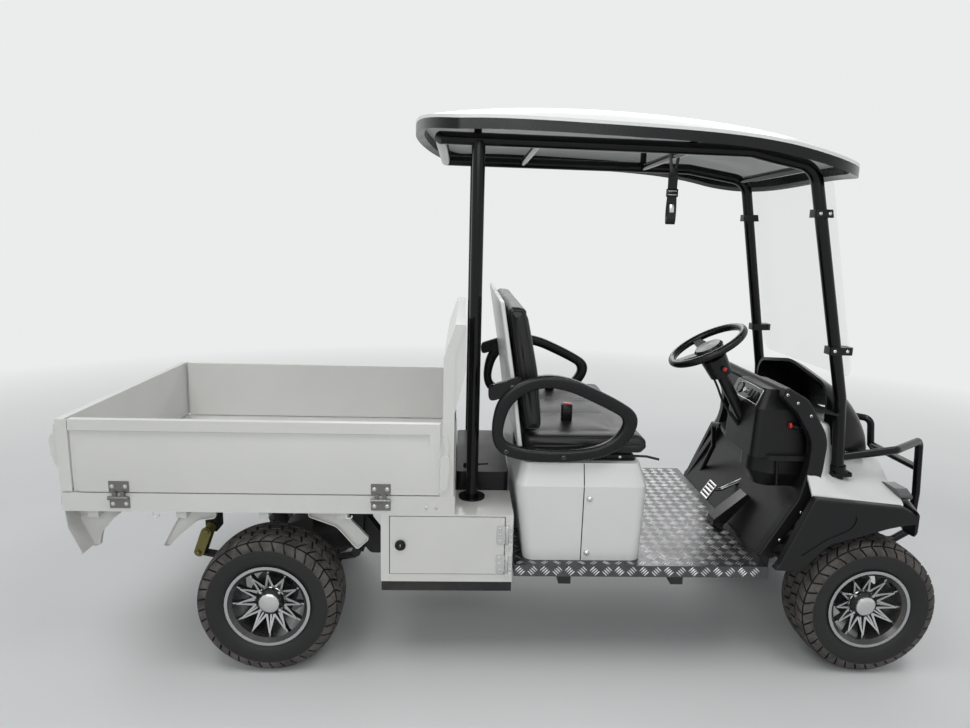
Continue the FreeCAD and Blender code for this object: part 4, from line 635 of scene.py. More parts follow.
def dome_head(centre, axis, radius, height):
    """Pan-head screw: flat washer edge, then a crowned head."""
    profile = [(0, radius), (height * 0.35, radius), (height * 0.75, radius * 0.82), (height, radius * 0.45),
               (height, 0)]
    return turned(profile, centre, axis, 20)


def hex_head(centre, axis, radius, height):
    """Hexagon head on a round flange."""
    head = turned([(height * 0.3, radius * 0.8), (height * 0.9, radius * 0.8), (height, radius * 0.66),
                   (height, 0)], centre, axis, 6)
    return [turned([(0, radius), (height * 0.3, radius), (height * 0.3, 0)], centre, axis, 20), head]


# Tyres

TYRE_MIDDLE_Y = 500
WHEEL_X = {"front": 1224, "rear": -1224}
WHEEL_Z = 288
TREAD_BLOCKS = 36
PROFILE_LENGTH = 232             # length that the half profile is scaled to, for the bands below
TYRE_HALF = [
    # out from the tyre's middle, radius: bead, sidewall, shoulder, crown
    (91, 152), (94, 166), (101, 179), (108.5, 196), (112, 216), (111.5, 236), (107.5, 256), (98, 271),
    (84, 281), (50, 287), (0, 288),
]
TREAD_BANDS = [
    # kind, start and end along the half profile, samples
    ("wall", 0, 92, 22), ("ledge", 94, 96, 2), ("shoulder", 97.5, 132, 6), ("ring", 134, 137, 2),
    ("shoulder", 139, 178, 6), ("ring", 181, 185, 2), ("centre", 187.5, 227, 6), ("ring", 229.5, 231.8, 2),
]
BLOCK_COLUMNS = np.array([0.0, 0.03, 0.15, 0.18, 0.34, 0.50, 0.53, 0.65, 0.68, 0.84])
GROOVES = ({"shoulder": (1, 2), "centre": (6, 7)}, {"shoulder": (6, 7), "centre": (1, 2)})    # of each half
BAND_DEPTH = {"wall": 3.0, "ledge": 1.5, "ring": 7.5}
GROOVE_DEPTH = 10.0
RIBS = ((40, 2.2), (78, 2.0))    # place and width of the sidewall's ribs
RIB_HEIGHT = 0.7
WALL_RELIEF = 0.3
ZIGZAG = ([0, 94, 134, 183, 232], [0, 0, 0.42, -0.30, -0.05])


def line_lengths(line):
    """Distance along a line at each of its points."""
    return np.concatenate([[0], np.cumsum(np.linalg.norm(np.diff(line, axis=0), axis=1))])


def tyre_grid(wheel_x):
    """Tyre and the relief of its points: the profile is sunk by grooves that zigzag across it, then turned.

    A row at distance s has depth d(s, column); its point is profile(s) - d * outward, and it stands at the
    angle (block + column + zigzag(s)) times the pitch.
    """
    half = spline(TYRE_HALF, 600)
    length = line_lengths(half)
    length *= PROFILE_LENGTH / length[-1]
    places = np.concatenate([np.linspace(a, b, n) for _, a, b, n in TREAD_BANDS])
    kinds = np.concatenate([np.repeat(kind, n) for kind, _, _, n in TREAD_BANDS])
    out, radius = (np.interp(places, length, part) for part in half.T)
    slope_out, slope_radius = (np.interp(places, length, np.gradient(part, length)) for part in half.T)
    normal = unit(np.stack([slope_radius, -slope_out], -1))
    columns = np.tile(BLOCK_COLUMNS, TREAD_BLOCKS) + np.repeat(np.arange(TREAD_BLOCKS), len(BLOCK_COLUMNS))
    in_block = np.arange(len(columns)) % len(BLOCK_COLUMNS)
    wall = kinds == "wall"
    depth = np.zeros((len(places), len(columns)))
    for kind, sunk in BAND_DEPTH.items():
        depth[kinds == kind] = sunk
    for middle, width in RIBS:
        depth -= (RIB_HEIGHT * np.exp(-((places - middle) / width) ** 2) * wall)[:, None]
    halves, reliefs = [], []
    for grooves in GROOVES:
        cut = depth.copy()
        for kind, floors in grooves.items():
            cut[np.ix_(kinds == kind, np.isin(in_block, floors))] = GROOVE_DEPTH
        halves.append((out[:, None] - cut * normal[:, :1], radius[:, None] - cut * normal[:, 1:]))
        reliefs.append(np.where(wall[:, None], WALL_RELIEF, 1 - cut / GROOVE_DEPTH))
    across = np.concatenate([halves[0][0], -halves[1][0][::-1]])
    reach = np.concatenate([halves[0][1], halves[1][1][::-1]])
    lean = np.interp(places, *ZIGZAG)
    turn = (columns[None, :] + np.concatenate([lean, -lean[::-1]])[:, None]) * 2 * np.pi / TREAD_BLOCKS
    x, z = wheel_x + reach * np.sin(turn), WHEEL_Z - reach * np.cos(turn)
    points = np.stack([x, TYRE_MIDDLE_Y + across, z], -1)
    return (points, True, True), np.concatenate([reliefs[0], reliefs[1][::-1]])


VALVE_LINE = [(96, 560, 98), (94, 578, 96), (90, 592, 92)]
HUB_CAP = [(540, 58), (546, 57), (549, 52), (566, 43), (577, 40), (579, 36), (582, 30), (583, 0)]
NUT_CIRCLE = 53
NUT_Y = 543


def make_tyres():
    """Tyres with their tread, and the valve, the hub cap and the lug nuts of each rim."""
    for end in ENDS:
        centre = np.array((WHEEL_X[end], 0, WHEEL_Z))
        grid, relief = tyre_grid(WHEEL_X[end])
        stem = swept(spline(np.array(VALVE_LINE) + centre, 8), circle(3.4, 10))
        cap = turned(HUB_CAP, centre, LEFT, 44)
        nuts = []
        for t in np.pi / 4 + np.arange(4) * np.pi / 2:
            nuts += hex_head(centre + (NUT_CIRCLE * np.cos(t), NUT_Y, NUT_CIRCLE * np.sin(t)), LEFT, 9, 16)
        for side, sign in SIDES.items():
            wheel = "%s_%s" % (end, side)
            body = "wheel_" + wheel
            tyre = add_piece("tread_" + wheel, on_side([grid], sign), "tyre_rubber", body=body, crease=30)
            tyre.data.attributes.new("relief", "FLOAT", "POINT").data.foreach_set("value", relief.ravel())
            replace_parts(tyre, "tyre_" + wheel)
            add_piece("valve_" + wheel, on_side([stem], sign), "smooth_black", body=body)
            add_piece("hub_cap_" + wheel, on_side([cap], sign), "bright_zinc", body)
            add_piece("lug_nuts_" + wheel, on_side(nuts, sign), "bright_zinc", body=body)


# Seat

PAD_STEP = 12.5
SEAT_HALF = 520
PAD_INSET = 9
PAD_CAP = 14
SEAM_DEPTH = 5
SEAT_SEAM_Y = (140, 430)
TOP_SEAM = (168, 987)            # x, z of the seam across the cushion
CUSHION_LINE = [
    # x, z, corner radius of the cushion's side view
    (-215, 902, 16), (262, 902, 26), (306, 948, 36), (266, 996, 32), (-215, 992, 22),
]
BACK_LINE = [
    (-217, 990, 12), (-132, 990, 34), (-150, 1230, 60), (-208, 1500, 40), (-302, 1506, 18), (-254, 1200, 90),
]


def round_corners(corners, step):
    """Closed outline from (x, z, radius) corners: an arc in each corner, then evenly spaced points."""
    corners = np.asarray(corners, float)
    here, radius = corners[:, :2], corners[:, 2]
    before, after = np.roll(here, 1, 0) - here, np.roll(here, -1, 0) - here
    half = np.arccos(np.clip((unit(before) * unit(after)).sum(1), -1, 1)) / 2
    room = np.minimum(np.linalg.norm(before, axis=1), np.linalg.norm(after, axis=1))
    cut = np.minimum(radius / np.tan(half), 0.48 * room)[:, None]
    line = arc_points(here + unit(before) * cut, here, here + unit(after) * cut, np.linspace(0, 1, 9))
    line = np.concatenate([line, line[:1]])
    length = line_lengths(line)
    at = np.linspace(0, length[-1], int(round(length[-1] / step)), endpoint=False)
    return np.stack([np.interp(at, length, part) for part in line.T], -1)


def nearest_on(spine, flat):
    """Nearest points of a straight spine to points of the side view."""
    way = spine[1] - spine[0]
    along = np.clip(((flat - spine[0]) @ way) / (way ** 2).sum(), 0, 1)
    return spine[0] + along[..., None] * way


def across_seat(line, inner, y, k):
    """Side view carried across the seat: rows at y and -y whose points are inner + k (line - inner)."""
    y, k = np.concatenate([-y[:0:-1], y]), np.concatenate([k[:0:-1], k])
    flat = inner[None] + k[:, None, None] * (line - inner)[None]
    return np.stack([flat[..., 0], np.broadcast_to(y[:, None], flat.shape[:2]), flat[..., 1]], -1)


def pad_grid(corners, spine, half, inset, edge):
    """Pad: its side view carried across the seat; towards each end it shrinks to the spine.

    A point is spine(p) + k * (p - spine(p)), with k falling from 1 to 0 and y rising over a round edge.
    """
    line = round_corners(corners, PAD_STEP)
    inner = nearest_on(spine, line)
    thick = np.linalg.norm(line - inner, axis=1).min()
    line = line + (inner - line) * (inset / thick)
    thick -= inset
    flat_end = half - inset - edge
    span = np.linspace(0, flat_end, int(flat_end / PAD_STEP) + 1)
    t = np.linspace(0, np.pi / 2, 5)[1:]
    round_y, round_k = flat_end + edge * np.sin(t), 1 - (edge / thick) * (1 - np.cos(t))
    flat_k = np.linspace(round_k[-1], 0, 4)[1:]
    y = np.concatenate([span, round_y, np.repeat(round_y[-1], len(flat_k))])
    k = np.concatenate([np.ones(len(span)), round_k, flat_k])
    points = across_seat(line, inner, y, k)
    points[[0, -1], :, ::2] = spine.mean(0)
    return points, len(span) - 1 + 2


def pad_seams(points, lengthwise, crosswise):
    """True where the cover is sewn down: at the rows nearest to some y, and along some cross lines."""
    seam = np.zeros(points.shape[:2], bool)
    row_y = points[:, 0, 1]
    for y in SEAT_SEAM_Y:
        for sign in (-1, 1):
            row = np.abs(row_y - sign * y).argmin()
            seam[row] |= lengthwise(points[row])
    for where, reach in crosswise:
        column = np.linalg.norm(points[len(points) // 2][:, [0, 2]] - np.asarray(where), axis=1).argmin()
        seam[:, column] |= (np.abs(row_y) >= reach[0]) & (np.abs(row_y) <= reach[1])
    return seam


CLOTH = {"quality": 5, "use_pressure": True, "uniform_pressure_force": 4.0, "vertex_group_mass": "sewn",
         "tension_stiffness": 12, "compression_stiffness": 12, "bending_stiffness": 1.5}
CLOTH_FRAMES = 18


def swell(piece, sewn_points):
    """Cloth pass: pressure lifts the cover between the sewn points; no point moves further than the cap."""
    mesh = piece.data
    tree = KDTree(len(mesh.vertices))
    for vertex in mesh.vertices:
        tree.insert(vertex.co, vertex.index)
    tree.balance()
    sewn = sorted({tree.find(point)[1] for point in sewn_points})
    before = np.empty(len(mesh.vertices) * 3)
    mesh.vertices.foreach_get("co", before)
    group_of_sewn = piece.vertex_groups.new(name="sewn")
    group_of_sewn.add(sewn, 1.0, "REPLACE")
    cloth = piece.modifiers.new("swell", "CLOTH")
    for key, value in CLOTH.items():
        setattr(cloth.settings, key, value)
    cloth.settings.effector_weights.gravity = 0
    cloth.point_cache.frame_start = 1
    cloth.point_cache.frame_end = CLOTH_FRAMES
    scene = bpy.context.scene
    for frame_number in range(1, CLOTH_FRAMES + 1):
        scene.frame_set(frame_number)
    shaped = piece.evaluated_get(bpy.context.evaluated_depsgraph_get())
    after = np.empty_like(before)
    shaped.to_mesh().vertices.foreach_get("co", after)
    shaped.to_mesh_clear()
    piece.modifiers.remove(cloth)
    piece.vertex_groups.remove(group_of_sewn)
    scene.frame_set(1)
    move = (after - before).reshape(-1, 3)
    size = np.linalg.norm(move, axis=1, keepdims=True)
    move *= np.minimum(1, PAD_CAP / 1000 / np.maximum(size, 1e-9))
    mesh.vertices.foreach_set("co", before + move.reshape(-1))
    mesh.update()


def sink(points, seam, spine):
    """Sewn points drawn SEAM_DEPTH towards the spine, in the pad's side view."""
    flat = points[..., ::2]
    move = unit(nearest_on(spine, flat) - flat) * (SEAM_DEPTH * seam)[..., None]
    return points + np.stack([move[..., 0], 0 * move[..., 0], move[..., 1]], -1)


def make_pad(name, corners, spine, node_name, edge, lengthwise, crosswise, rests):
    """Upholstered pad: grid, cloth pass, one subdivision, and the piping round both ends."""
    spine = np.array(spine, float)
    points, piping_row = pad_grid(corners, spine, SEAT_HALF, PAD_INSET, edge)
    seam = pad_seams(points, lengthwise, crosswise)
    points = sink(points, seam, spine)
    middle = (len(points) - 1) // 2
    rows = [middle - piping_row, middle + piping_row]
    seam[rows] = True
    pad = add_piece(name, [(points, False, True)], "leathercloth", crease=180)
    swell(pad, place(points[seam | rests(points)]))
    finer = pad.modifiers.new("finer", "SUBSURF")
    finer.levels = finer.render_levels = 1
    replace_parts(pad, node_name)
    cords = [swept(points[row], circle(2.6, 8), LEFT, True) for row in rows]
    add_piece(name + "_piping", cords, "leathercloth")


SHELL_LINE = [
    # x, z, corner radius of the thin shell behind the pad
    (-238, 930, 7), (-219, 930, 7), (-256, 1200, 90), (-304, 1490, 60), (-308, 1518, 7), (-326, 1518, 9),
    (-274, 1200, 90),
]
SHELL_SPINE = ([950, 1200, 1500], [-230, -265, -313])      # heights, x of the shell's middle
SHELL_HEIGHTS = (942, 1506)      # ends of that middle
SHELL_ROUND = 12                 # how far the rounded ends reach


def make_back_shell():
    """Shell behind the pad: its side view carried across the seat, drawn in over rounded ends."""
    line = round_corners(SHELL_LINE, 9)
    inner = np.stack([np.interp(line[:, 1], *SHELL_SPINE), np.clip(line[:, 1], *SHELL_HEIGHTS)], -1)
    t = np.linspace(0, np.pi / 2, 5)
    y = np.concatenate([[0], SEAT_HALF + SHELL_ROUND * np.sin(t), [SEAT_HALF + SHELL_ROUND] * 2])
    k = np.concatenate([[1], 1 - 0.5 * (1 - np.cos(t)), [0.25, 0]])
    shell = add_piece("back_shell", [(across_seat(line, inner, y, k), False, True)], "white_shell", crease=50)
    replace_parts(shell, "seat_back_shell")


BACK_REST = ((990, 1200, 1490), (-204, -242, -290))      # heights, x of the line where the back pad is held


def make_seat():
    """Bench cushion and back, each with two sewn-in places."""
    def on_top(row):
        """Where the cushion's long seams run."""
        return (row[:, 2] > 975) & (row[:, 0] < 172)

    def on_front(row):
        """Where the back's long seams run."""
        return (row[:, 0] > -236) & (row[:, 2] < 1455) & (row[:, 2] > 1000)

    make_pad("bench_cushion", CUSHION_LINE, [(-171, 947), (250, 948)], "seat_cushion", 22, on_top,
             [(TOP_SEAM, SEAT_SEAM_Y), ((303, 948), (0, 600))], lambda points: points[..., 2] < 914)
    make_pad("bench_back", BACK_LINE, [(-180, 1034), (-256, 1454)], "seat_back_pad", 30, on_front,
             [((-202, 1462), (0, 600)), ((-304, 1500), (0, 600))],
             lambda points: points[..., 0] < np.interp(points[..., 2], *BACK_REST))


# Solids that hold several parts of different finish, split up

def shells_of(node_name):
    """Closed shells of a node's mesh, as pairs of points and triangles, in the order of their middles."""
    work = bmesh.new()
    work.from_mesh(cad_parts[node_name].data)
    bmesh.ops.remove_doubles(work, verts=work.verts, dist=1e-5)
    work.verts.index_update()
    points = np.array([vertex.co for vertex in work.verts])
    faces = np.array([[vertex.index for vertex in face.verts] for face in work.faces])
    work.free()
    label = np.arange(len(points))
    while True:
        low = label[faces].min(1)
        before = label.copy()
        np.minimum.at(label, faces, low[:, None])
        label = label[label]
        if (label == before).all():
            break
    found = []
    for root in np.unique(label):
        own = label[faces[:, 0]] == root
        used, local = np.unique(faces[own], return_inverse=True)
        found.append((points[used], local.reshape(-1, 3)))
    return sorted(found, key=lambda shell: tuple(np.round(shell[0].mean(0), 3)))


def dress_shells(node_name, finish_at, body="chassis"):
    """Replaces a node by its shells, one piece per finish that finish_at gives for their middles."""
    groups = {}
    for points, faces in shells_of(node_name):
        middle = (points.mean(0) - place((0, 0, 0))) * 1000
        groups.setdefault(finish_at(*middle), []).append((points, faces))
    pieces = []
    for finish, shells in groups.items():
        offsets = np.cumsum([0] + [len(points) for points, _ in shells])
        mesh = bpy.data.meshes.new("%s_%s" % (node_name, finish))
        mesh.from_pydata(np.concatenate([points for points, _ in shells]), [],
                         np.concatenate([faces + start for (_, faces), start in zip(shells, offsets)]))
        pieces.append(add_piece(mesh.name, mesh, finish, body, 32))
    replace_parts(pieces[0], node_name)


def control_finish(x, y, z):
    """Finish of a control by its middle: bright pedals, a red knob at the right edge, black levers."""
    if -80 < y < 60:
        return "bright_zinc"
    return "signal_red" if z > 1000 and y < -410 and x < 880 else "smooth_black"


def split_up_solids():
    """Windshield, levers and pedals, lamps, springs and bed walls, whose parts differ in finish."""
    dress_shells("windshield", lambda x, y, z: "clear_pane" if abs(y) < 200 else "smooth_black")
    dress_shells("driver_controls", control_finish)
    dress_shells("lamps", lambda x, y, z: "dark_lens" if x > 0 else "tail_red")
    dress_shells("leaf_springs", lambda x, y, z: "olive_zinc" if x < -1500 else "frame_black")
    for side in SIDES:
        name = "drop_side_" + side
        dress_shells(name, lambda x, y, z: "white_paint" if abs(y) < BED_FACE else "zinc", name)
    dress_shells("tailgate", lambda x, y, z: "white_paint" if z > 815 else "zinc", "tailgate")


# Load bed

BED_FACE = 596
BED_REAR = -1991
SIDE_HINGE_X = (-1770, -772)
TAIL_HINGE_Y = (-430, 430)
LEAF_BOLTS = (-25, 25)
LEAF_OUT = 3                     # thickness of a hinge leaf
FRAME_LEAF_Z, WALL_LEAF_Z = 716, 786
LEAF_BOLT = (8, 5)               # radius and height of a bolt through a leaf or a bracket
RAIL_BOLTS, RAIL_BOLT_Z = (-595, -557), 710
BRACKET_BOLTS, BRACKET_BOLT_Z = (-1965, -1822, -1545, -1455, -1060, -950), 668
BRACKET_FACE = 500
HOOK_X = (-1641, -900)
HOOK_LINE = [(-9, 588, 688), (-9, 592, 672), (-4, 594, 663), (6, 594, 661), (13, 594, 666), (15, 594, 674)]


def make_bed_fittings():
    """Hinge bolts, the bolts of the rail and the brackets, and two rope hooks below each side."""
    fixed, wall, tail = [], [], []
    for bolts, z in ((fixed, FRAME_LEAF_Z), (wall, WALL_LEAF_Z)):
        for x in SIDE_HINGE_X:
            for dx in LEAF_BOLTS:
                bolts += hex_head((x + dx, BED_FACE + LEAF_OUT, z), LEFT, *LEAF_BOLT)
    for x in RAIL_BOLTS:
        fixed += hex_head((x, BED_FACE, RAIL_BOLT_Z), LEFT, 7, 4)
    for x in BRACKET_BOLTS:
        fixed += hex_head((x, BRACKET_FACE, BRACKET_BOLT_Z), LEFT, *LEAF_BOLT)
    fixed = both_sides(fixed)
    for bolts, z in ((fixed, FRAME_LEAF_Z), (tail, WALL_LEAF_Z)):
        for y in TAIL_HINGE_Y:
            for dy in LEAF_BOLTS:
                bolts += hex_head((BED_REAR - LEAF_OUT, y + dy, z), REARWARD, *LEAF_BOLT)
    hooks = [swept(spline(np.array(HOOK_LINE) + (x, 0, 0), 18), circle(3.2, 10), LEFT) for x in HOOK_X]
    add_piece("bed_bolts", fixed, "bright_zinc")
    add_piece("rope_hooks", both_sides(hooks), "white_paint")
    for side, sign in SIDES.items():
        add_piece("hinge_bolts_" + side, on_side(wall, sign), "bright_zinc", body="drop_side_" + side)
    add_piece("hinge_bolts_tail", tail, "bright_zinc", body="tailgate")


LOCK_AT = (-696, 606, 556)       # middle of the outer face of the lock's boss
DOOR_PIN = (-276, 606)
DOOR_HINGE_Z = (480, 602)
DOOR_HINGE = 75                  # height of a hinge
HINGE_SCREWS = (-25, 0, 25)


def make_locker_fittings():
    """Barrel lock with its key slot, and bright leaves, barrels and screws on the door hinges."""
    barrel = turned([(-8.5, 21), (0.6, 21), (1.6, 19.6), (1.6, 13), (0.6, 12), (0.6, 0)], LOCK_AT, LEFT, 40)
    slot = block(np.add(LOCK_AT, (0, 0.9, 0)), (12, 1.2, 2.8), 0.5, UPWARD, FORWARD)
    on_door, on_box = [], []
    for z in DOOR_HINGE_Z:
        on_door.append(block((-298, 599.9, z), (DOOR_HINGE, 38, 3.9), 1.2, UPWARD, LEFT))
        on_door.append(turned([(-37.6, 0), (-37.6, 6), (-36.8, 6.6), (36.8, 6.6), (37.6, 6), (37.6, 0)],
                              (*DOOR_PIN, z), UPWARD, 24))
        on_box.append(block((-262.5, 596.6, z), (DOOR_HINGE, 19, 3.0), 1.0, UPWARD, LEFT))
        for dz in HINGE_SCREWS:
            on_door.append(dome_head((-303, 601.6, z + dz), LEFT, 4.4, 2))
            on_box.append(dome_head((-259, 598, z + dz), LEFT, 3.6, 1.6))
    for side, sign in SIDES.items():
        body = "locker_door_" + side
        add_piece("locker_lock_" + side, on_side([barrel], sign), "smooth_black", body=body)
        add_piece("lock_slot_" + side, on_side([slot], sign), "bright_zinc", body=body)
        add_piece("locker_hinges_" + side, on_side(on_door, sign), "bright_zinc", body=body)
        add_piece("locker_leaves_" + side, on_side(on_box, sign), "bright_zinc")


# Floor

FLOOR_X = (-245, 785)
FLOOR_HALF = 600
FLOOR_TOP, FLOOR_LOW = 475, 427
TREAD_CELL = 50
TREAD_BAR = (37, 5.0, 1.4)       # length, width and height of a raised bar
SKIRT_BAR = 29                   # length of a bar on the folded edge
BAR_SUNK = 0.04                  # how far a bar's rim lies inside the plate
BARS_PER_CELL = 4
BAR_STEP = 9.5
SEAT_BOX = (-210, 280, 556)      # rear, front and half width of what the seat base covers


def bar_patches(a, b, lean, origin, u, v, up, length):
    """Lens-shaped bars on a plane, one small grid each, at origin + a u + b v and leaning from u towards v.

    A point is centre + s length/2 along + w sqrt(1 - s^2) width/2 across + height (1 - s^2)(1 - w^2) up.
    """
    s = np.linspace(-1, 1, 7)[:, None, None]
    w = np.array([-1.0, -0.45, 0.45, 1.0])[:, None]
    width, height = TREAD_BAR[1:]
    u, v, up = (np.array(vector, float) for vector in (u, v, up))
    a, b, lean = (values[:, None, None, None] for values in (a, b, lean))
    along = np.cos(lean) * u + np.sin(lean) * v
    across = np.cos(lean) * v - np.sin(lean) * u
    rise = height * (1 - s ** 2) * (1 - w ** 2) - BAR_SUNK
    points = (np.array(origin, float) + a * u + b * v + s * length / 2 * along
              + w * np.sqrt(1 - s ** 2) * width / 2 * across + rise * up)
    return points, False, False


def cell_bars(first, second, odd):
    """Centres and leans of the bars in cells at (first, second): odd cells lean the other way."""
    lean = np.where(odd, -1, 1) * np.pi / 4
    k = np.arange(BARS_PER_CELL) - (BARS_PER_CELL - 1) / 2
    a = first[:, None] - k * BAR_STEP * np.sin(lean)[:, None]
    b = second[:, None] + k * BAR_STEP * np.cos(lean)[:, None]
    return a.ravel(), b.ravel(), np.repeat(lean, BARS_PER_CELL)


def make_tread_bars():
    """Bars of the tread plate: cells lean left and right in turn, on top and on the folded edges; the bars
    are in a lighter copy of the plate's metal, as painted highlights.
    """
    x = np.arange(FLOOR_X[0] + TREAD_CELL / 2, FLOOR_X[1] - 20, TREAD_CELL)
    y = np.arange(-FLOOR_HALF + TREAD_CELL / 2, FLOOR_HALF, TREAD_CELL)
    i, j = (v.ravel() for v in np.meshgrid(np.arange(len(x)), np.arange(len(y)), indexing="ij"))
    bars = np.array(cell_bars(x[i], y[j], (i + j) % 2))
    rear, front, half = SEAT_BOX
    reach = TREAD_BAR[0] / 2 * np.cos(np.pi / 4)
    a, b = bars[0], np.abs(bars[1])
    covered = (a > rear - reach) & (a < front + reach) & (b < half + reach)
    inside = (b < FLOOR_HALF - reach - 5) & (a > FLOOR_X[0] + reach + 5)
    top = bar_patches(*bars[:, ~covered & inside], (0, 0, FLOOR_TOP), FORWARD, LEFT, UPWARD, TREAD_BAR[0])
    skirt = cell_bars(x, np.full(len(x), (FLOOR_TOP + FLOOR_LOW) / 2), np.arange(len(x)) % 2)
    side = bar_patches(*skirt, (0, FLOOR_HALF, 0), FORWARD, UPWARD, LEFT, SKIRT_BAR)
    # Lighter copy of the plate's metal: painted highlights on the bars.
    add_piece("tread_bars", [top] + both_sides([side]), "tread_bar_metal", crease=180)


# Seat fittings

SEAT_WALL = ([460, 475, 790, 880, 900], [553.5, 554, 562, 532, 527])     # heights, half widths of the base
SEAT_SEAM_X = 28
SEAT_DOMES = ((508, 554.8), (740, 560.7))
SEAT_DOME_X = 52
DOME_PROFILE = [(0, 13), (2, 12.4), (6, 9), (8.5, 4), (9, 0)]
BUCKLES = [(-15, -300), (-15, 300)]       # x, y
CASE_Z, BUTTON_Z = 1028, 1065
ARM_SCREWS = ((-270, 562, 1190), (-288, 576, 936), (-62, 576, 915))
SEAT_RAIL = (490.5, 893)         # y, z of its outer face, where the bolts sit
SEAT_RAIL_BOLTS = (-150, -40, 70, 180)
ROD_LINE = [(-448, -300, 785), (-400, -300, 789), (-345, -300, 794)]


def make_seat_fittings():
    """Buckles, armrest screws with dark discs of painted shade for their sockets, the seat base's seams as
    black strips of painted shade and its domes, the rod behind it and its bolts.
    """
    cases = [block((*at, CASE_Z), (72, 46, 30), 6, UPWARD, LEFT) for at in BUCKLES]
    tops = [block((*at, BUTTON_Z), (34, 22, 10), 3) for at in BUCKLES]
    # The seat base's seam is a black strip on its face: painted shade for the seam's groove.
    z = np.linspace(478, 878, 22)
    line = np.stack([0 * z + SEAT_SEAM_X, np.interp(z, *SEAT_WALL) + 0.2, z], -1)
    seam = swept(line, rounded_outline(4, 1.6, 0.7, 2), LEFT)
    domes = [turned(DOME_PROFILE, (SEAT_DOME_X, y, z), LEFT, 28) for z, y in SEAT_DOMES]
    screws = [dome_head(at, LEFT, 9, 3) for at in ARM_SCREWS]
    # Dark discs on the screws' heads: painted shade of their sockets.
    socket_shades = [turned([(3, 3.6), (3.3, 3.6), (3.3, 0)], at, LEFT, 6) for at in ARM_SCREWS]
    bolts = sum((hex_head((x, *SEAT_RAIL), LEFT, 6, 4) for x in SEAT_RAIL_BOLTS), [])
    add_piece("buckle_cases", cases, "smooth_black")
    add_piece("buckle_buttons", tops, "signal_red")
    add_piece("seat_base_seam_shade", both_sides([seam]), "smooth_black")
    add_piece("seat_base_domes", both_sides(domes), "bright_zinc")
    add_piece("armrest_screws", both_sides(screws), "gloss_black")
    add_piece("armrest_socket_shade", both_sides(socket_shades), "grained_black")
    add_piece("seat_rail_bolts", both_sides(bolts), "bright_zinc")
    rod = swept(spline(ROD_LINE, 10), circle(4, 10), LEFT)
    knob = turned([(0, 7), (3, 11), (16, 11), (20, 8), (20, 0)], (-432, -300, 786), (-1, 0, -0.1), 20)
    add_piece("deck_rod", [rod, knob], "smooth_black")


ARM_OUTER = [(-356, 1000), (-318, 1182), (-120, 1262), (122, 1160), (250, 1078), (160, 925), (-72, 884),
             (-305, 905)]
ARM_INNER = [(-312, 1004), (-266, 1150), (-112, 1206), (102, 1112), (188, 1062), (112, 962), (-72, 936),
             (-272, 952)]
ARM_Y, ARM_HALF = 554, 22
ARM_BRACKET = [(-362, 1128, 24), (-362, 1192, 26), (-240, 1232, 10), (-228, 1190, 10), (-300, 1150, 10)]


def bent_loop(corners, count):
    """Closed loop of arcs, each from the middle of one side of a polygon to the middle of the next."""
    here = np.asarray(corners, float)
    start, end = (np.roll(here, 1, 0) + here) / 2, (here + np.roll(here, -1, 0)) / 2
    t = np.linspace(0, 1, count, endpoint=False)
    return arc_points(start, here, end, t)


def plate(outline, y0, y1, edge):
    """Flat plate: its outline at both faces, drawn in at the edges, closed by its middle."""
    outline = np.asarray(outline, float)
    middle = outline.mean(0)
    drawn = outline + (middle - outline) * (edge / np.linalg.norm(outline - middle, axis=1, keepdims=True))
    rows = [(0 * outline + middle, y0), (drawn, y0), (outline, y0 + edge), (outline, y1 - edge), (drawn, y1),
            (0 * outline + middle, y1)]
    points = [np.stack([line[:, 0], np.full(len(line), y), line[:, 1]], -1) for line, y in rows]
    return np.stack(points), False, True


def make_armrests():
    """Closed loops at the bench's ends: a rounded section carried between an outer and an inner line.

    A point is the middle of both lines + u half their distance + v half the loop's width, with (u, v) on the
    outline of the section.
    """
    outer, inner = bent_loop(ARM_OUTER, 14), bent_loop(ARM_INNER, 14)
    u, v = rounded_outline(2, 2, 0.62, 4).T
    flat = ((outer + inner) / 2)[:, None] + u[None, :, None] * ((outer - inner) / 2)[:, None]
    y = np.broadcast_to(ARM_Y + ARM_HALF * v, flat.shape[:2])
    loop = (np.stack([flat[..., 0], y, flat[..., 1]], -1), True, True)
    bracket = plate(round_corners(ARM_BRACKET, 6), 533, 562, 3)
    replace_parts(add_piece("arm_loops", both_sides([loop, bracket]), "smooth_black"), "armrests")


# Front

DASH_FACE = 500
DASH_SCREWS = ((838, 1163), (884, 1130), (943, 1078), (946, 668), (868, 545))
PANEL_MIDDLE = np.array([774.5, -267, 1126.0])      # middle of the binnacle's sloping face
PANEL_UP = unit((35, 0, 81))
PANEL_OUT = unit((-81, 0, 35))
COLUMN_BOSS = np.array([640.6, -250, 1228.2])
COLUMN_SIDE = unit((8, -62, 0))
PARK_KNOB = np.array([800, -330, 912])


def on_panel(across, up, out):
    """Point on the instrument panel, from its middle."""
    return PANEL_MIDDLE + np.array([0, across, 0]) + up * PANEL_UP + out * PANEL_OUT


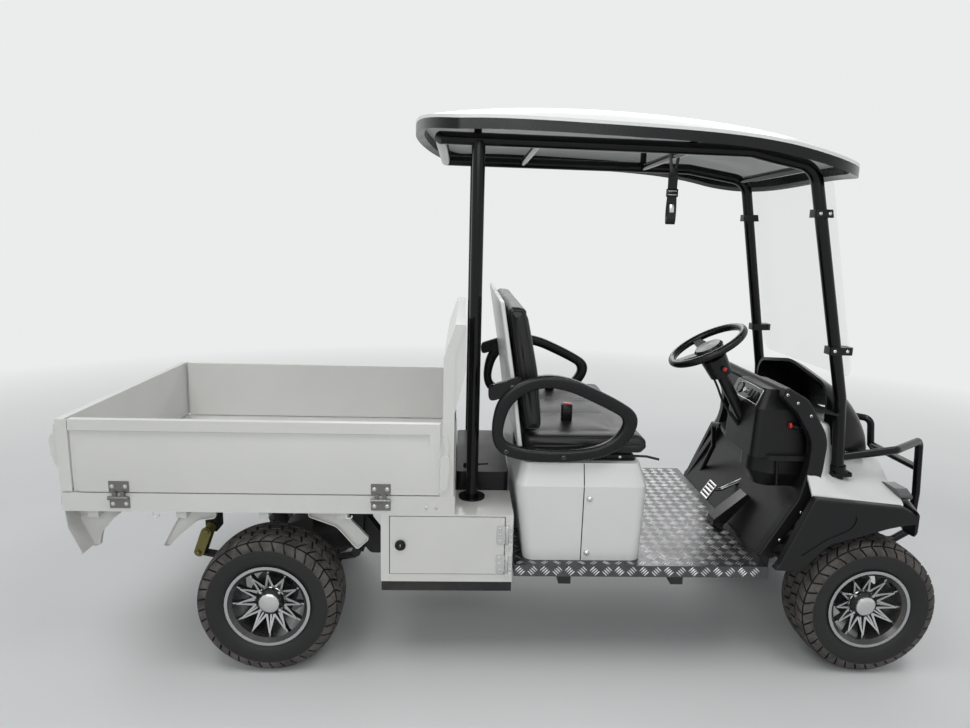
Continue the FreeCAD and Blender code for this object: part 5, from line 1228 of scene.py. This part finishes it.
def make_dash_fittings():
    """Screws on the rims with black discs of painted shade for their sockets, the instrument panel, the key
    switch, and the red knob and button.
    """
    screws = [dome_head((x, DASH_FACE, z), LEFT, 6.5, 4.5) for x, z in DASH_SCREWS]
    # Black discs on the bright screw heads: painted shade of their sockets.
    socket_shades = [turned([(4.4, 3.2), (4.8, 3.2), (4.8, 0)], (x, DASH_FACE, z), LEFT, 6) for x, z in DASH_SCREWS]
    add_piece("dash_screws", both_sides(screws), "bright_zinc")
    add_piece("dash_socket_shade", both_sides(socket_shades), "smooth_black")
    panel = block(on_panel(0, 0, 1), (268, 74, 5), 2.2, LEFT, PANEL_OUT)
    strips = [block(on_panel(-131, 0, 3.6), (72, 5, 2.4), 1, PANEL_UP, PANEL_OUT),
              block(on_panel(0, -33, 3.6), (250, 4, 2), 0.8, LEFT, PANEL_OUT)]
    keys = [block(on_panel(y, 2, 5), (34, 24, 7), 3, PANEL_UP, PANEL_OUT) for y in (-100, -68, -36)]
    dial = turned([(0, 27), (5, 27), (7, 25), (7, 22), (5, 21), (5, 0)], on_panel(70, 2, 2), PANEL_OUT, 40)
    barrel = turned([(0, 12), (8, 12), (10, 10), (10, 5), (8, 4), (8, 0)], on_panel(10, 2, 2), PANEL_OUT, 28)
    park = turned([(0, 16), (3, 17), (8, 15), (12, 9), (14, 9), (14, 0)], PARK_KNOB, UPWARD, 32)
    bow = block(PARK_KNOB + (0, 0, 21), (26, 6, 16), 2.8, (1, 0.25, 0))
    red = turned([(0, 9), (6, 12.5), (15, 12.5), (19, 9), (20, 0)], (906, -440, 1020), (-1, 0, 0.12), 28)
    button = turned([(-1, 9), (3, 9), (5.5, 7), (6.5, 0)], COLUMN_BOSS + 62.5 * COLUMN_SIDE, COLUMN_SIDE, 28)
    add_piece("instrument_panel", [panel], "gloss_black")
    add_piece("panel_strips", strips, "bright_zinc")
    add_piece("switch_keys", keys, "smooth_black")
    add_piece("charge_gauge", [dial], "gloss_black")
    add_piece("key_barrel", [barrel], "bright_zinc")
    add_piece("park_knob", [park, bow], "bright_zinc")
    add_piece("red_knob", [red], "signal_red")
    add_piece("column_button", [button], "signal_red")


CLIP_SCREWS = ((1056, 417, 1330), (1108, 417, 1330), (950, 387, 1880), (988, 387, 1880))
FOOT_BOLTS = [(1140 + dx, y, 812) for dx in (-38, 38) for y in (382, 418)]


def make_clip_screws():
    """Socket screws of the windshield clips and bolts of the posts' feet."""
    screws = [dome_head(at, LEFT, 7, 3) for at in CLIP_SCREWS]
    bolts = sum((hex_head(at, UPWARD, 7, 5) for at in FOOT_BOLTS), [])
    add_piece("clip_screws", both_sides(screws), "bright_zinc")
    add_piece("foot_bolts", both_sides(bolts), "smooth_black")


LAMP_FACE = 1402
LAMP_Z = 744
HEADLAMPS = ((444, 15), (402, 11))        # y, radius
TAIL_LAMP = (BED_REAR - 10.6, 540, 718)


def make_lamps():
    """Headlamp bowls with their bulbs, and raised faces on the tail lamps."""
    bowls, bulbs = [], []
    for y, radius in HEADLAMPS:
        centre = (LAMP_FACE, y, LAMP_Z)
        bowls.append(turned([(-1, 0), (-0.6, radius * 0.5), (0.8, radius * 0.86), (1.6, radius * 0.94),
                             (1.2, radius), (-1, radius)], centre, FORWARD, 36))
        bulbs.append(turned([(-0.5, radius * 0.3), (3, radius * 0.27), (4.5, 0)], centre, FORWARD, 20))
    face = block(TAIL_LAMP, (70, 36, 3), 1.2, LEFT, FORWARD)
    add_piece("headlamp_bowls", both_sides(bowls), "bright_zinc")
    add_piece("headlamp_bulbs", both_sides(bulbs), "lamp_lens")
    add_piece("tail_lamp_faces", both_sides([face]), "tail_red")


# Strap and cable

CABLE_ROUTE = [(627.6, -250.0, 1176.7), (647.6, -250.0, 1142.0), (676.0, -250.0, 1070.0),
               (708.0, -250.0, 1030.0)]
CABLE_D = 10.0


def make_cable():
    """Limp cable from the column's shroud to the dash."""
    curve = bpy.data.curves.new("column_loom", "CURVE")
    curve.dimensions = "3D"
    curve.bevel_depth = CABLE_D / 2000
    curve.bevel_resolution = 5
    curve.resolution_u = 16
    curve.use_fill_caps = True
    line = curve.splines.new("NURBS")
    line.points.add(len(CABLE_ROUTE) - 1)
    for point, at in zip(line.points, place(CABLE_ROUTE)):
        point.co = (*at, 1)
    line.order_u = 3
    line.use_endpoint_u = True
    curve.materials.append(FINISH["smooth_black"])
    loom = bpy.data.objects.new("column_loom", curve)
    bpy.context.scene.collection.objects.link(loom)
    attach(loom, "chassis")
    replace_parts(loom, "column_cable")


STRAP_X = 420
STRAP_Y = -141
STRAP_W = 40
STRAP_T = 2.2
BAR_Z = 2114
BAR_R = 16
TWIST = (2066, 60)               # height where the strap starts to turn, and the height that it takes
STRAP_DROP = [(2, 1962), (2.2, 2000), (6, 2040), (12, 2076)]
STRAP_FALL = [(-12, 2076), (-6, 2040), (-2.2, 2000), (-2, 1950), (-8, 1915), (-11, 1880), (-9, 1845),
              (-3, 1831), (3, 1831), (9, 1845), (11, 1880), (8, 1915), (2, 1946)]


def strap_line(offsets, heights):
    """Points of the strap, and the way its width lies: both turn by phi about its upright middle line.

    phi grows smoothly from 0 at the bar to a quarter turn lower down.
    """
    t = np.clip((TWIST[0] - heights) / TWIST[1], 0, 1)
    phi = np.pi / 2 * t * t * (3 - 2 * t)
    points = np.stack([STRAP_X + offsets * np.cos(phi), STRAP_Y + offsets * np.sin(phi), heights], -1)
    return points, np.stack([-np.sin(phi), np.cos(phi), 0 * phi], -1)


def make_strap():
    """Webbing loop over the roof's cross bar: a flat outline carried along it, with its slides."""
    turn = np.linspace(-0.12 * np.pi, 1.12 * np.pi, 15)
    reach = BAR_R + 1.6
    over = np.stack([reach * np.cos(turn), BAR_Z + reach * np.sin(turn)], -1)
    front = spline(STRAP_DROP + [tuple(over[0])], 26)[:-1]
    back = spline([tuple(over[-1])] + STRAP_FALL, 70)[1:]
    points, widths = strap_line(*np.concatenate([front, over, back]).T)
    loop = swept(points, rounded_outline(STRAP_T, STRAP_W, 1.0, 2), widths)
    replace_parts(add_piece("roof_strap", [loop], "webbing", crease=60), "hand_strap")
    slides = [block((STRAP_X, STRAP_Y, 1960), (STRAP_W + 8, 15, 34), 4),
              block((STRAP_X, STRAP_Y, 1846), (STRAP_W - 2, 22, 30), 8)]
    bars = [block((STRAP_X, STRAP_Y - 7.6, z), (STRAP_W - 4, 3, 4), 1.2) for z in (1952, 1968)]
    bars.append(block((STRAP_X, STRAP_Y - 11.6, 1895), (18, 2, 34), 0.8))
    add_piece("strap_slides", slides, "smooth_black")
    add_piece("strap_bars", bars, "bright_zinc")


# Running gear

SHACKLE_PINS = ((-1577, 363, 401), (-1537, 363, 497))
U_BOLTS = (
    # axle's x, spring's y, half width, then the heights of the bottom, of its bend's middle and of the top
    (-1224, 330, 40, 248, 288, 372),
    (1224, 160, 36, 246, 262, 358),
)
U_BOLT_APART = 33                # across the spring, from its middle


def make_u_bolts():
    """Shackle bolts, and U-bolts round the axles: a rod along two legs and a round bottom, nuts on top."""
    pins = sum((hex_head(at, LEFT, 13, 10) for at in SHACKLE_PINS), [])
    add_piece("shackle_bolts", both_sides(pins), "olive_zinc")
    shapes = []
    turn = np.linspace(np.pi, 2 * np.pi, 13)
    for x, spring_y, half, low, mid, top in U_BOLTS:
        for y in (spring_y - U_BOLT_APART, spring_y + U_BOLT_APART):
            bend = np.stack([x + half * np.cos(turn), 0 * turn + y, mid + (mid - low) * np.sin(turn)], -1)
            down = np.linspace((x - half, y, top), (x - half, y, mid + 6), 3)
            up = np.linspace((x + half, y, mid + 6), (x + half, y, top), 3)
            shapes.append(swept(np.concatenate([down, bend, up]), circle(5, 8), LEFT))
            for end in (-half, half):
                shapes += hex_head((x + end, y, top - 10), UPWARD, 10, 8)
    add_piece("axle_u_bolts", both_sides(shapes), "zinc")


make_camera()
FINISH = finishes()
make_cable()
make_stage()
dress_nodes()
split_up_solids()
make_tyres()
make_back_shell()
make_seat()
make_bed_fittings()
make_locker_fittings()
make_tread_bars()
make_seat_fittings()
make_armrests()
make_dash_fittings()
make_clip_screws()
make_lamps()
make_strap()
make_u_bolts()
